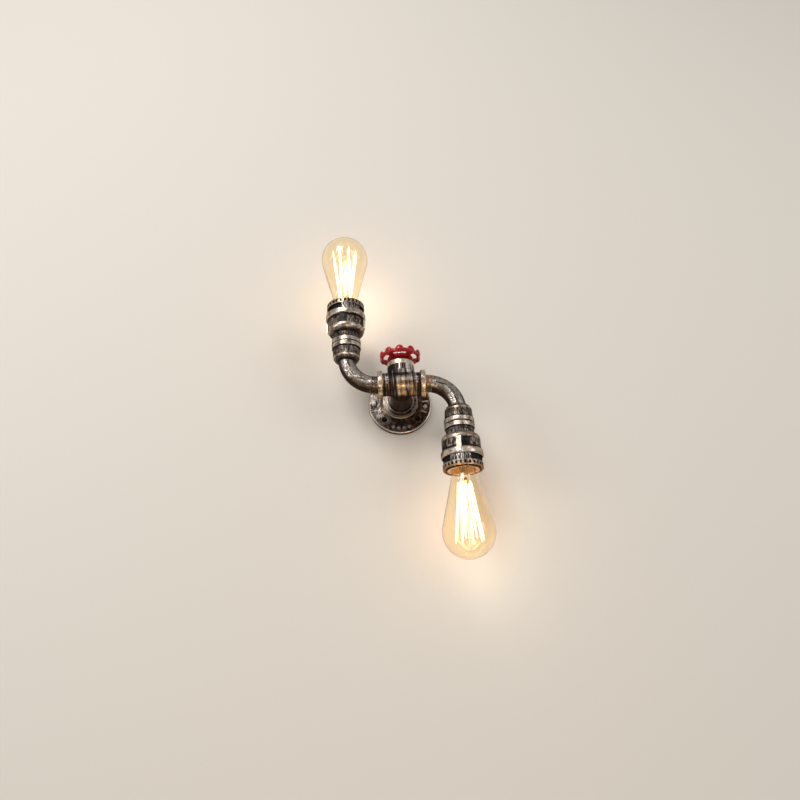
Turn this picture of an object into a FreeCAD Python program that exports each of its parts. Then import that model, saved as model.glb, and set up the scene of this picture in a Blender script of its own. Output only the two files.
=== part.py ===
# Wall sconce made of cast pipe fittings: a wall flange carries a short tube and a
# tee, the tee carries a valve handwheel on a rotary switch and two elbow arms, one
# pointing up and one pointing down, and each arm ends in a lampholder with a long
# squirrel-cage bulb.
#
# Millimetres, +Z up. The origin is the centre of the flange's back face, on the wall
# plane, and the sconce stands out of the wall towards -Y.
import FreeCAD, Part
import math
import os

import Sketcher
from FreeCAD import Placement, Rotation, Vector

SIZES = {
    # Clearances: between screwed or pressed pieces, in the turning joints, and
    # between pieces that only pass each other
    "fit_gap": 0.05,
    "running_gap": 0.05,
    "free_gap": 0.3,

    # Wall flange
    "flange_radius": 42.8,
    "flange_thick": 6.0,
    "flange_edge_round": 1.2,
    "bolt_circle": 63.3,
    "bolt_hole_radius": 4.1,
    "bolt_count": 4,
    "hub_base_radius": 27.0,
    "hub_radius": 23.3,
    "hub_front": 16.5,
    "hub_lip": 1.5,
    "hub_band": 1.5,
    "hub_groove_depth": 1.2,
    "hub_mouth_radius": 16.9,
    "hub_mouth_depth": 2.4,
    "tube_seat": 4.0,
    "set_screw_radius": 2.5,
    "set_screw_out": 11.0,
    "set_screw_angle": -32.0,
    "set_screw_sink": 0.8,
    "set_screw_point": 0.6,
    "set_screw_key": 1.4,

    # Rear tube between the flange and the tee
    "standoff": 68.5,
    "tube_radius": 15.35,
    "tube_bore": 11.5,
    "spigot_radius": 12.9,
    "spigot_length": 5.0,

    # Tee
    "run_half": 30.6,
    "run_radius": 15.0,
    "collar_width": 6.3,
    "collar_radius": 18.0,
    "collar_round": 1.3,
    "boss_reach": 19.5,
    "neck_radius": 17.6,
    "neck_top": 22.5,
    "neck_shoulder": 15.5,
    "neck_foot_radius": 13.4,
    "neck_foot": 6.5,
    "neck_sweep": 11.0,
    "chamber_radius": 10.4,
    "chamber_floor": -3.0,
    "run_bore": 9.4,
    "arm_engagement": 13.6,

    # Bonnet cap, rotary switch and spindle
    "cap_height": 6.5,
    "cap_plate": 3.0,
    "cap_round": 0.8,
    "cap_spigot_radius": 14.0,
    "cap_spigot_depth": 5.0,
    "switch_radius": 9.8,
    "switch_length": 20.0,
    "switch_cover": 3.0,
    "bush_radius": 5.0,
    "rotor_radius": 7.0,
    "rotor_length": 6.0,
    "spindle_radius": 3.0,
    "switch_nut_flats": 14.0,
    "switch_nut_height": 2.4,

    # Handwheel
    "wheel_turn": -3.0,
    "wheel_gap": 0.6,
    "wheel_hub_radius": 7.5,
    "wheel_hub_height": 10.0,
    "wheel_hub_chamfer": 1.5,
    "wheel_dish_rise": 3.6,
    "wheel_web_thick": 3.4,
    "wheel_rim_inner": 22.6,
    "wheel_rim_outer": 25.1,
    "wheel_rim_height": 5.4,
    "wheel_rim_round": 1.1,
    "wheel_windows": 5,
    "window_sweep": 50.0,
    "window_inner": 16.6,
    "window_margin": 0.4,
    "window_round": 1.2,
    "wheel_lobes": 10,
    "lobe_reach": 27.2,
    "lobe_root": 22.0,
    "lobe_half_width": 5.0,
    "lobe_lift": 4.0,
    "lobe_half_height": 5.4,
    "washer_radius": 6.0,
    "washer_thick": 1.0,
    "wheel_nut_flats": 8.0,
    "wheel_nut_height": 3.2,
    "spindle_proud": 1.0,
    "spindle_chamfer": 0.5,

    # Elbow arm
    "arm_offset": 69.7,
    "bend_radius": 38.0,
    "pipe_radius": 11.0,
    "pipe_wall": 1.8,
    "pipe_top": 49.5,

    # Banded coupling on the elbow
    "coupling_start": 35.5,
    "coupling_mouth_radius": 15.0,
    "coupling_mouth_slope": 3.4,
    "coupling_waist_radius": 17.1,
    "coupling_band_radius": 17.9,
    "coupling_band_length": 12.0,
    "coupling_groove": 1.2,
    "coupling_groove_radius": 16.6,
    "coupling_ring_radius": 19.0,
    "coupling_ring_length": 5.8,
    "coupling_taper_radius": 18.0,
    "coupling_neck_radius": 16.8,
    "coupling_taper_length": 7.8,
    "coupling_round": 0.6,

    # Lampholder housing
    "housing_shoulder_round": 6.0,
    "housing_wall": 3.8,
    "housing_body_length": 20.8,
    "bead_rise": 2.1,
    "bead_length": 8.7,
    "bead_round": 1.9,
    "recess_wall": 2.1,
    "recess_length": 7.3,
    "skirt_wall": 1.4,
    "skirt_length": 8.6,
    "housing_floor": 2.6,
    "pad_rise": 1.9,
    "pad_sweep": 61.0,
    "pad_count": 3,
    "pad_root": 0.5,
    "rib_rise": 1.3,
    "rib_width": 5.6,
    "rib_count": 2,
    "rib_root": 1.0,
    "rib_slope": 1.5,
    "upper_housing_turn": -190.0,
    "lower_housing_turn": -76.0,

    # Serrated clamp ring
    "clamp_wall": 3.2,
    "clamp_length": 6.8,
    "clamp_round": 0.5,
    "slot_count": 28,
    "slot_width": 3.1,
    "slot_length": 3.9,
    "slot_depth": 1.3,

    # Lampholder inside the housing
    "nipple_radius": 5.0,
    "nipple_bore": 3.6,
    "nipple_engagement": 9.0,
    "lock_nut_flats": 17.0,
    "lock_nut_height": 2.4,
    "holder_wall": 6.0,
    "holder_floor": 2.8,
    "holder_drop": 0.8,
    "holder_mouth_step": 2.4,
    "shell_below_rim": 4.1,
    "shell_gap": 0.45,
    "shell_wall": 0.5,
    "shell_foot_bore": 8.0,
    "contact_width": 5.0,
    "contact_thick": 0.5,
    "contact_inset": 0.5,
    "contact_heel": 1.8,
    "contact_rise": 2.1,
    "terminal_wall": 0.9,
    "terminal_radius": 1.7,
    "terminal_head_radius": 2.9,
    "terminal_head": 2.0,
    "terminal_length": 8.0,

    # Bulb
    "bulb_length": 115.6,
    "bulb_radius": 32.0,
    "bulb_neck_rise": 0.6,
    "bulb_neck_length": 8.0,
    "bulb_neck_blend": 20.0,
    "glass_wall": 0.9,
    "glass_tuck": 7.0,
    "bulb_cap_length": 22.0,
    "bulb_cap_radius": 13.0,
    "bulb_cap_wall": 0.3,
    "bulb_cap_flare": 0.9,
    "bulb_cap_turn_in": 1.4,
    "insulator_end_radius": 6.5,
    "insulator_height": 3.4,
    "foot_radius": 4.7,
    "foot_height": 1.6,
    "stem_tube_radius": 4.6,
    "stem_rise": 16.0,
    "stem_pinch_length": 8.0,
    "rod_radius": 1.5,
    "lower_button_rise": 6.0,
    "upper_button_drop": 26.6,
    "button_radius": 2.8,
    "button_length": 4.0,
    "cage_lower_radius": 8.0,
    "cage_lower_drop": 6.0,
    "cage_upper_radius": 17.0,
    "cage_upper_lift": 5.0,
    "cage_strands": 16,
    "filament_radius": 0.35,
    "turn_radius": 0.45,
    "hook_radius": 0.3,
}

doc = FreeCAD.newDocument("wall_sconce")
dim = doc.addObject("Spreadsheet::Sheet", "dim")
for row, (alias, size) in enumerate(SIZES.items(), start=1):
    dim.set(f"A{row}", alias)
    dim.set(f"B{row}", str(size))
    dim.setAlias(f"B{row}", alias)
doc.recompute()

NODES = []
SMALLEST_CUT = 0.5


# Helpers: values, sketches and features

def value(expression):
    """The number that an expression over the size sheet stands for."""
    return float(dim.evalExpression(expression))


def origin_part(body, role):
    """A plane or an axis of the body's own origin."""
    return next(part for part in body.Origin.OriginFeatures if part.Role == role)


def new_body(label):
    """A sub-part of the sconce, which is written out under its label."""
    body = doc.addObject("PartDesign::Body", label)
    body.Label = label
    NODES.append(body)
    return body


def new_sketch(body, name, plane):
    sketch = body.newObject("Sketcher::SketchObject", name)
    sketch.AttachmentSupport = (origin_part(body, plane), "")
    sketch.MapMode = "FlatFace"
    return sketch


def bind(sketch, constraint, expression):
    """Add a dimension to a sketch and tie it to the size sheet."""
    number = sketch.addConstraint(constraint)
    sketch.setExpression(f"Constraints[{number}]", expression)


def pin_point(sketch, curve, end, place):
    """Hold one end of a curve at a place given as two expressions."""
    for kind, expression in zip(("DistanceX", "DistanceY"), place):
        bind(sketch, Sketcher.Constraint(kind, -1, 1, curve, end, value(expression)), expression)


def draw_outline(body, name, places, plane="XZ_Plane"):
    """A closed outline of straight lines through places given as expressions."""
    sketch = new_sketch(body, name, plane)
    corners = [Vector(value(across), value(along), 0) for across, along in places]
    for index, corner in enumerate(corners):
        sketch.addGeometry(Part.LineSegment(corner, corners[(index + 1) % len(corners)]), False)
    for index in range(len(corners)):
        following = (index + 1) % len(corners)
        sketch.addConstraint(Sketcher.Constraint("Coincident", index, 2, following, 1))
    for index, place in enumerate(places):
        pin_point(sketch, index, 1, place)
    return sketch


def draw_circles(body, name, radii, plane="XY_Plane", centre=("0", "0")):
    """Circles about one centre: the first is the outside, a second one a bore."""
    sketch = new_sketch(body, name, plane)
    middle = Vector(value(centre[0]), value(centre[1]), 0)
    for index, radius in enumerate(radii):
        sketch.addGeometry(Part.Circle(middle, Vector(0, 0, 1), value(radius)), False)
        bind(sketch, Sketcher.Constraint("Radius", index, value(radius)), radius)
        pin_point(sketch, index, 3, centre)
    return sketch


def draw_hexagon(body, name, flats, plane="XY_Plane"):
    """A hexagon given by the distance across its flats."""
    corner = f"({flats}) / sqrt(3)"
    places = [(f"{corner} * {math.cos(math.radians(angle)):.9f}",
               f"{corner} * {math.sin(math.radians(angle)):.9f}") for angle in range(0, 360, 60)]
    return draw_outline(body, name, places, plane)


def revolve(body, name, sketch, axis="V_Axis", sweep="360", cut=False, middle=False):
    """Turn a sketch about one of its axes, adding material or cutting a groove."""
    feature = body.newObject("PartDesign::Groove" if cut else "PartDesign::Revolution", name)
    feature.Profile = sketch
    feature.ReferenceAxis = (sketch, [axis])
    feature.setExpression("Angle", sweep)
    feature.Midplane = middle
    sketch.Visibility = False
    doc.recompute()
    return feature


def turn_profile(body, name, places, cut=False):
    """Turn an outline of (radius, height) places about the body's Z axis."""
    return revolve(body, name, draw_outline(body, f"{name}_outline", places), cut=cut)


def extrude(body, name, sketch, length, cut=False, middle=False, reverse=False):
    feature = body.newObject("PartDesign::Pocket" if cut else "PartDesign::Pad", name)
    feature.Profile = sketch
    feature.setExpression("Length", length)
    feature.Midplane = middle
    feature.Reversed = reverse
    doc.recompute()
    return feature


def repeat_round(body, name, features, count, axis="Z_Axis"):
    """Repeat features evenly round one of the body's axes."""
    pattern = body.newObject("PartDesign::PolarPattern", name)
    pattern.Originals = features
    pattern.Axis = (origin_part(body, axis), [""])
    pattern.Angle = 360
    pattern.setExpression("Occurrences", count)
    body.Tip = pattern
    doc.recompute()
    return pattern


def close(first, second):
    return abs(first - second) < 1e-3


def ring_edges(feature, places, axis="Z"):
    """Names of a turned feature's round edges at the given (radius, height) places."""
    wanted = [(value(radius), value(height)) for radius, height in places]
    names = []
    for number, edge in enumerate(feature.Shape.Edges, start=1):
        if edge.Degenerated or not isinstance(edge.Curve, Part.Circle):
            continue
        centre = edge.Curve.Center
        height, away = (centre.z, math.hypot(centre.x, centre.y))
        if axis == "X":
            height, away = (centre.x, math.hypot(centre.y, centre.z))
        if not close(away, 0):
            continue
        if any(close(edge.Curve.Radius, radius) and close(height, level) for radius, level in wanted):
            names.append(f"Edge{number}")
    return names


def upright_edges(feature):
    """Names of a feature's straight edges that run along Z."""
    names = []
    for number, edge in enumerate(feature.Shape.Edges, start=1):
        if edge.Degenerated or not isinstance(edge.Curve, Part.Line):
            continue
        if close(abs(edge.Curve.Direction.z), 1):
            names.append(f"Edge{number}")
    return names


def round_edges(body, name, base, edges, radius):
    fillet = body.newObject("PartDesign::Fillet", name)
    fillet.Base = (base, edges)
    fillet.setExpression("Radius", radius)
    doc.recompute()
    return fillet


def stand(body, side=0.0, level="0", turn=None, flip=False):
    """Place a body on the tee's axis plane: side is the share of the arm offset."""
    spin = Rotation(Vector(0, 0, 1), 0 if turn is None else value(turn))
    if flip:
        spin = Rotation(Vector(0, 1, 0), 180) * spin
    body.Placement = Placement(Vector(0, 0, 0), spin)
    body.setExpression("Placement.Base.x", f"{side} * dim.arm_offset")
    body.setExpression("Placement.Base.y", "-dim.standoff")
    body.setExpression("Placement.Base.z", level)


def face_the_room(body):
    """Lay a body that was turned about Z along the way out of the wall, -Y."""
    body.Placement = Placement(Vector(0, 0, 0), Rotation(Vector(1, 0, 0), 90))


# Wall side: flange, set screw and rear tube, all turned about the way out of the wall

TUBE_END = "dim.standoff - dim.boss_reach"


def wall_flange():
    body = new_body("wall_flange")
    tube_fit = "dim.tube_radius + dim.fit_gap"
    groove_floor = "dim.hub_front - dim.hub_groove_depth"
    disc = turn_profile(body, "disc_and_hub", [
        ("dim.tube_bore", "0"),
        ("dim.flange_radius", "0"),
        ("dim.flange_radius", "dim.flange_thick"),
        ("dim.hub_base_radius", "dim.flange_thick"),
        ("dim.hub_radius", "dim.hub_front - dim.hub_band"),
        ("dim.hub_radius", "dim.hub_front"),
        ("dim.hub_radius - dim.hub_lip", "dim.hub_front"),
        ("dim.hub_radius - dim.hub_lip", groove_floor),
        ("dim.hub_mouth_radius + dim.hub_lip", groove_floor),
        ("dim.hub_mouth_radius + dim.hub_lip", "dim.hub_front"),
        ("dim.hub_mouth_radius", "dim.hub_front"),
        ("dim.hub_mouth_radius", "dim.hub_front - dim.hub_mouth_depth"),
        (tube_fit, "dim.hub_front - dim.hub_mouth_depth"),
        (tube_fit, "dim.tube_seat"),
        ("dim.tube_bore", "dim.tube_seat"),
    ])
    rim = ring_edges(disc, [("dim.flange_radius", "dim.flange_thick")])
    round_edges(body, "rim_edge", disc, rim, "dim.flange_edge_round")
    bolt_place = "dim.bolt_circle / 2 * sin(45)"
    hole_sketch = draw_circles(body, "bolt_hole_outline", ["dim.bolt_hole_radius"],
                               centre=(bolt_place, bolt_place))
    hole = extrude(body, "bolt_hole", hole_sketch, "dim.flange_thick * 2", cut=True, reverse=True)
    repeat_round(body, "bolt_holes", [hole], "dim.bolt_count")
    bore = body.newObject("PartDesign::SubtractiveCylinder", "set_screw_hole")
    bore.AttachmentSupport = (origin_part(body, "XY_Plane"), "")
    bore.MapMode = "FlatFace"
    bore.setExpression("Radius", "dim.set_screw_radius + dim.fit_gap")
    bore.setExpression("Height", "dim.hub_base_radius")
    bore.AttachmentOffset = Placement(Vector(0, 0, value("dim.set_screw_out")), set_screw_way())
    bore.setExpression("AttachmentOffset.Base.z", "dim.set_screw_out")
    doc.recompute()
    face_the_room(body)


def set_screw_way():
    """The rotation that lays a Z axis along the set screw's way out of the hub."""
    lean = Rotation(Vector(0, 1, 0), 90)
    return Rotation(Vector(0, 0, 1), value("dim.set_screw_angle")) * lean


def hub_set_screw():
    body = new_body("hub_set_screw")
    tip = "dim.tube_radius + dim.fit_gap"
    head = "dim.hub_radius - dim.set_screw_sink"
    turn_profile(body, "screw", [
        ("0", tip),
        ("dim.set_screw_radius - dim.set_screw_point", tip),
        ("dim.set_screw_radius", f"{tip} + dim.set_screw_point"),
        ("dim.set_screw_radius", head),
        ("0", head),
    ])
    key_sketch = draw_hexagon(body, "key_outline", "dim.set_screw_key * 2")
    key_sketch.AttachmentOffset = Placement(Vector(0, 0, value(head)), Rotation())
    key_sketch.setExpression("AttachmentOffset.Base.z", head)
    extrude(body, "key", key_sketch, "dim.set_screw_radius", cut=True)
    out = Rotation(Vector(1, 0, 0), 90)
    body.Placement = Placement(Vector(0, -value("dim.set_screw_out"), 0), out * set_screw_way())
    body.setExpression("Placement.Base.y", "-dim.set_screw_out")


def rear_tube():
    body = new_body("rear_tube")
    turn_profile(body, "tube", [
        ("dim.tube_bore", "dim.tube_seat"),
        ("dim.tube_radius", "dim.tube_seat"),
        ("dim.tube_radius", TUBE_END),
        ("dim.spigot_radius", TUBE_END),
        ("dim.spigot_radius", f"{TUBE_END} + dim.spigot_length"),
        ("dim.tube_bore", f"{TUBE_END} + dim.spigot_length"),
    ])
    face_the_room(body)


# Tee with its neck, bonnet cap and rotary switch

def tee_body():
    body = new_body("tee_body")
    inner = "dim.run_half - dim.collar_width"
    run = revolve(body, "run", draw_outline(body, "run_outline", [
        ("-dim.run_half", "0"),
        ("-dim.run_half", "dim.collar_radius"),
        (f"-({inner})", "dim.collar_radius"),
        (f"-({inner})", "dim.run_radius"),
        (inner, "dim.run_radius"),
        (inner, "dim.collar_radius"),
        ("dim.run_half", "dim.collar_radius"),
        ("dim.run_half", "0"),
    ]), axis="H_Axis")
    collar_corners = [("dim.collar_radius", level) for level in
                      ("-dim.run_half", f"-({inner})", inner, "dim.run_half")]
    round_edges(body, "collar_edges", run, ring_edges(run, collar_corners, "X"),
                "dim.collar_round")
    revolve(body, "neck", neck_outline(body))
    boss_sketch = draw_circles(body, "boss_outline", ["dim.tube_radius"], plane="XZ_Plane")
    extrude(body, "rear_boss", boss_sketch, "dim.boss_reach", reverse=True)
    pipe_fit = "dim.pipe_radius + dim.running_gap"
    pipe_end = "dim.run_half - dim.arm_engagement"
    bores = draw_outline(body, "run_bore_outline", [
        ("-dim.run_half", "0"),
        ("-dim.run_half", pipe_fit),
        (f"-({pipe_end})", pipe_fit),
        (f"-({pipe_end})", "dim.run_bore"),
        (pipe_end, "dim.run_bore"),
        (pipe_end, pipe_fit),
        ("dim.run_half", pipe_fit),
        ("dim.run_half", "0"),
    ])
    revolve(body, "run_bores", bores, axis="H_Axis", cut=True)
    spigot_fit = "dim.cap_spigot_radius + dim.fit_gap"
    spigot_seat = "dim.neck_top - dim.cap_spigot_depth"
    turn_profile(body, "switch_chamber", [
        ("0", "dim.chamber_floor"),
        ("dim.chamber_radius", "dim.chamber_floor"),
        ("dim.chamber_radius", spigot_seat),
        (spigot_fit, spigot_seat),
        (spigot_fit, "dim.neck_top"),
        ("0", "dim.neck_top"),
    ], cut=True)
    rear_floor = "dim.boss_reach - dim.spigot_length"
    rear = draw_outline(body, "rear_bore_outline", [
        ("0", "0"),
        ("dim.run_bore", "0"),
        ("dim.run_bore", rear_floor),
        ("dim.spigot_radius + dim.fit_gap", rear_floor),
        ("dim.spigot_radius + dim.fit_gap", "dim.boss_reach"),
        ("0", "dim.boss_reach"),
    ], plane="XY_Plane")
    revolve(body, "rear_bore", rear, cut=True)
    stand(body)


def neck_outline(body):
    """The neck's outline: upright at the top, sweeping in towards its foot."""
    sketch = new_sketch(body, "neck_outline", "XZ_Plane")
    places = [
        ("0", "0"),
        ("dim.neck_foot_radius", "0"),
        ("dim.neck_foot_radius", "dim.neck_foot"),
        ("dim.neck_radius", "dim.neck_shoulder"),
        ("dim.neck_radius", "dim.neck_top"),
        ("0", "dim.neck_top"),
    ]
    corners = [Vector(value(across), value(along), 0) for across, along in places]
    foot, shoulder = corners[2], corners[3]
    radius = value("dim.neck_sweep")
    chord = shoulder - foot
    rise = math.sqrt(radius ** 2 - (chord.Length / 2) ** 2)
    inward = Vector(-chord.y, chord.x, 0).normalize()
    centre = foot + chord / 2 + inward * rise
    bulge = centre - inward * radius
    for index, corner in enumerate(corners):
        following = corners[(index + 1) % len(corners)]
        if index == 2:
            sketch.addGeometry(Part.Arc(foot, bulge, shoulder), False)
        else:
            sketch.addGeometry(Part.LineSegment(corner, following), False)
    for index in range(len(corners)):
        following = (index + 1) % len(corners)
        sketch.addConstraint(Sketcher.Constraint("Coincident", index, 2, following, 1))
    for index, place in enumerate(places):
        pin_point(sketch, index, 1, place)
    bind(sketch, Sketcher.Constraint("Radius", 2, radius), "dim.neck_sweep")
    return sketch


CAP_TOP = "dim.neck_top + dim.cap_height"
SWITCH_TOP = "dim.neck_top + dim.cap_height - dim.cap_plate"


def bonnet_cap():
    body = new_body("bonnet_cap")
    bush_fit = "dim.bush_radius + dim.fit_gap"
    spigot_end = "dim.neck_top - dim.cap_spigot_depth"
    inside = "dim.switch_radius + dim.free_gap"
    cap = turn_profile(body, "cap", [
        (bush_fit, CAP_TOP),
        ("dim.neck_radius", CAP_TOP),
        ("dim.neck_radius", "dim.neck_top"),
        ("dim.cap_spigot_radius", "dim.neck_top"),
        ("dim.cap_spigot_radius", spigot_end),
        (inside, spigot_end),
        (inside, SWITCH_TOP),
        (bush_fit, SWITCH_TOP),
    ])
    edges = ring_edges(cap, [("dim.neck_radius", CAP_TOP), ("dim.neck_radius", "dim.neck_top")])
    round_edges(body, "cap_edges", cap, edges, "dim.cap_round")
    stand(body)


def switch_body():
    body = new_body("switch_body")
    bush_top = f"{CAP_TOP} + dim.switch_nut_height"
    bottom = f"{SWITCH_TOP} - dim.switch_length"
    rotor_top = f"{SWITCH_TOP} - dim.switch_cover"
    rotor_bottom = f"{rotor_top} - dim.rotor_length - 2 * dim.free_gap"
    spindle_fit = "dim.spindle_radius + dim.running_gap"
    rotor_fit = "dim.rotor_radius + dim.free_gap"
    turn_profile(body, "case_and_bush", [
        ("0", bottom),
        ("dim.switch_radius", bottom),
        ("dim.switch_radius", SWITCH_TOP),
        ("dim.bush_radius", SWITCH_TOP),
        ("dim.bush_radius", bush_top),
        (spindle_fit, bush_top),
        (spindle_fit, rotor_top),
        (rotor_fit, rotor_top),
        (rotor_fit, rotor_bottom),
        ("0", rotor_bottom),
    ])
    stand(body)


def switch_nut():
    body = new_body("switch_nut")
    extrude(body, "hexagon", draw_hexagon(body, "flats", "dim.switch_nut_flats"),
            "dim.switch_nut_height")
    thread = draw_circles(body, "thread_outline", ["dim.bush_radius + dim.fit_gap"])
    extrude(body, "thread", thread, "dim.switch_nut_height", cut=True, reverse=True)
    stand(body, level=CAP_TOP)


# Handwheel, its spindle, washer and nut

HUB_BOTTOM = f"{CAP_TOP} + dim.switch_nut_height + dim.wheel_gap"
HUB_TOP = f"{HUB_BOTTOM} + dim.wheel_hub_height"
RIM_BOTTOM = f"{HUB_BOTTOM} + dim.wheel_dish_rise"


def wheel_spindle():
    body = new_body("wheel_spindle")
    rotor_top = f"{SWITCH_TOP} - dim.switch_cover - dim.free_gap"
    rotor_bottom = f"{rotor_top} - dim.rotor_length"
    top = f"{HUB_TOP} + dim.washer_thick + dim.wheel_nut_height + dim.spindle_proud"
    turn_profile(body, "spindle_and_rotor", [
        ("0", rotor_bottom),
        ("dim.rotor_radius", rotor_bottom),
        ("dim.rotor_radius", rotor_top),
        ("dim.spindle_radius", rotor_top),
        ("dim.spindle_radius", f"{top} - dim.spindle_chamfer"),
        ("dim.spindle_radius - dim.spindle_chamfer", top),
        ("0", top),
    ])
    stand(body, turn="dim.wheel_turn")


def handwheel():
    body = new_body("handwheel")
    bore = "dim.spindle_radius + dim.fit_gap"
    rim_top = f"{RIM_BOTTOM} + dim.wheel_rim_height"
    casting = turn_profile(body, "hub_dish_and_rim", [
        (bore, HUB_BOTTOM),
        ("dim.wheel_hub_radius", HUB_BOTTOM),
        ("dim.wheel_rim_inner", RIM_BOTTOM),
        ("dim.wheel_rim_outer", RIM_BOTTOM),
        ("dim.wheel_rim_outer", rim_top),
        ("dim.wheel_rim_inner", rim_top),
        ("dim.wheel_rim_inner", f"{RIM_BOTTOM} + dim.wheel_web_thick"),
        ("dim.wheel_hub_radius", f"{HUB_BOTTOM} + dim.wheel_web_thick"),
        ("dim.wheel_hub_radius", f"{HUB_TOP} - dim.wheel_hub_chamfer"),
        ("dim.wheel_hub_radius - dim.wheel_hub_chamfer", HUB_TOP),
        (bore, HUB_TOP),
    ])
    rim_corners = [("dim.wheel_rim_outer", RIM_BOTTOM), ("dim.wheel_rim_outer", rim_top),
                   ("dim.wheel_rim_inner", rim_top)]
    round_edges(body, "rim_edges", casting, ring_edges(casting, rim_corners),
                "dim.wheel_rim_round")
    window = extrude(body, "window", window_outline(body), "dim.wheel_hub_height * 2",
                     cut=True, middle=True)
    windows = repeat_round(body, "windows", [window], "dim.wheel_windows")
    round_edges(body, "window_corners", windows, upright_edges(windows), "dim.window_round")
    lobe = body.newObject("PartDesign::AdditiveEllipsoid", "lobe")
    lobe.AttachmentSupport = (origin_part(body, "XY_Plane"), "")
    lobe.MapMode = "FlatFace"
    lobe.setExpression("Radius1", "dim.lobe_half_height")
    lobe.setExpression("Radius2", "(dim.lobe_reach - dim.lobe_root) / 2")
    lobe.setExpression("Radius3", "dim.lobe_half_width")
    lobe.setExpression("AttachmentOffset.Base.x", "(dim.lobe_reach + dim.lobe_root) / 2")
    lobe.setExpression("AttachmentOffset.Base.z", f"{RIM_BOTTOM} + dim.lobe_lift")
    doc.recompute()
    repeat_round(body, "lobes", [lobe], "dim.wheel_lobes")
    stand(body, turn="dim.wheel_turn - 90")


def window_outline(body):
    """A sector between the dish and the rim, centred on the X axis."""
    sketch = new_sketch(body, "window_outline", "XY_Plane")
    sketch.AttachmentOffset = Placement(Vector(0, 0, value(RIM_BOTTOM)), Rotation())
    sketch.setExpression("AttachmentOffset.Base.z", RIM_BOTTOM)
    half = math.radians(value("dim.window_sweep") / 2)
    radii = ("dim.window_inner", "dim.wheel_rim_inner - dim.window_margin")
    for radius in radii:
        circle = Part.Circle(Vector(0, 0, 0), Vector(0, 0, 1), value(radius))
        sketch.addGeometry(Part.ArcOfCircle(circle, -half, half), False)
    for sign in (-1, 1):
        ray = Vector(math.cos(half), sign * math.sin(half), 0)
        sketch.addGeometry(Part.LineSegment(ray * value(radii[0]), ray * value(radii[1])), False)
    for arc, radius in enumerate(radii):
        sketch.addConstraint(Sketcher.Constraint("Coincident", arc, 3, -1, 1))
        bind(sketch, Sketcher.Constraint("Radius", arc, value(radius)), radius)
        side = f"({radius}) * sin(dim.window_sweep / 2)"
        for line, arc_end, sign in ((2, 1, -1), (3, 2, 1)):
            sketch.addConstraint(Sketcher.Constraint("Coincident", line, arc + 1, arc, arc_end))
            height = f"{sign} * {side}"
            bind(sketch, Sketcher.Constraint("DistanceY", -1, 1, line, arc + 1, value(height)), height)
    return sketch


def wheel_washer():
    body = new_body("wheel_washer")
    rings = draw_circles(body, "rings", ["dim.washer_radius", "dim.spindle_radius + dim.fit_gap"])
    extrude(body, "washer", rings, "dim.washer_thick")
    stand(body, level=HUB_TOP)


def wheel_nut():
    body = new_body("wheel_nut")
    extrude(body, "hexagon", draw_hexagon(body, "flats", "dim.wheel_nut_flats"),
            "dim.wheel_nut_height")
    thread = draw_circles(body, "thread_outline", ["dim.spindle_radius + dim.fit_gap"])
    extrude(body, "thread", thread, "dim.wheel_nut_height", cut=True, reverse=True)
    stand(body, level=f"{HUB_TOP} + dim.washer_thick")


# One arm: heights are measured from the tee's axis along the arm, and the arm's own
# frame has the tee on its +X side

COUPLING_BAND_END = "dim.coupling_start + dim.coupling_mouth_slope + dim.coupling_band_length"
RING_ONE = f"{COUPLING_BAND_END} + dim.coupling_groove"
RING_ONE_END = f"{RING_ONE} + dim.coupling_ring_length"
RING_TWO = f"{RING_ONE_END} + dim.coupling_groove"
RING_TWO_END = f"{RING_TWO} + dim.coupling_ring_length"
TAPER = f"{RING_TWO_END} + dim.coupling_groove"
COUPLING_END = f"{TAPER} + dim.coupling_taper_length"

BEAD = f"{COUPLING_END} + dim.housing_body_length"
BEAD_END = f"{BEAD} + dim.bead_length"
SKIRT = f"{BEAD_END} + dim.recess_length"
MOUTH = f"{SKIRT} + dim.skirt_length"
FLOOR_TOP = f"{COUPLING_END} + dim.housing_floor"
HOLDER_BASE = f"{FLOOR_TOP} + dim.lock_nut_height"
HOLDER_FLOOR = f"{HOLDER_BASE} + dim.holder_floor"

# Radii from the bulb's cap outwards: screw shell, lampholder, housing and clamp ring
SHELL_BORE = "dim.bulb_cap_radius + dim.shell_gap"
SHELL_OUT = f"{SHELL_BORE} + dim.shell_wall"
SHELL_FIT = f"{SHELL_OUT} + dim.fit_gap"
TERMINAL_PLACE = f"{SHELL_FIT} + dim.terminal_wall + dim.terminal_radius"
HOLDER_OUT = f"{SHELL_FIT} + dim.holder_wall"
HOUSING_BORE = f"{HOLDER_OUT} + dim.free_gap"
BODY = f"{HOUSING_BORE} + dim.housing_wall"
BEAD_OUT = f"{BODY} + dim.bead_rise"
RECESS = f"{HOUSING_BORE} + dim.recess_wall"
SKIRT_OUT = f"{HOUSING_BORE} + dim.skirt_wall"
CLAMP_OUT = f"{SKIRT_OUT} + dim.clamp_wall"

# Heights up the bulb, from the tip of its foot contact
FOOT_TIP = f"{HOLDER_FLOOR} + dim.contact_rise"
CAP_BASE = f"{FOOT_TIP} + dim.foot_height / 2 + dim.insulator_height"
CAP_RIM = f"{CAP_BASE} + dim.bulb_cap_length"
SHELL_TOP = f"{CAP_RIM} - dim.shell_below_rim"
BULB_TIP = f"{CAP_RIM} + dim.bulb_length"


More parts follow.
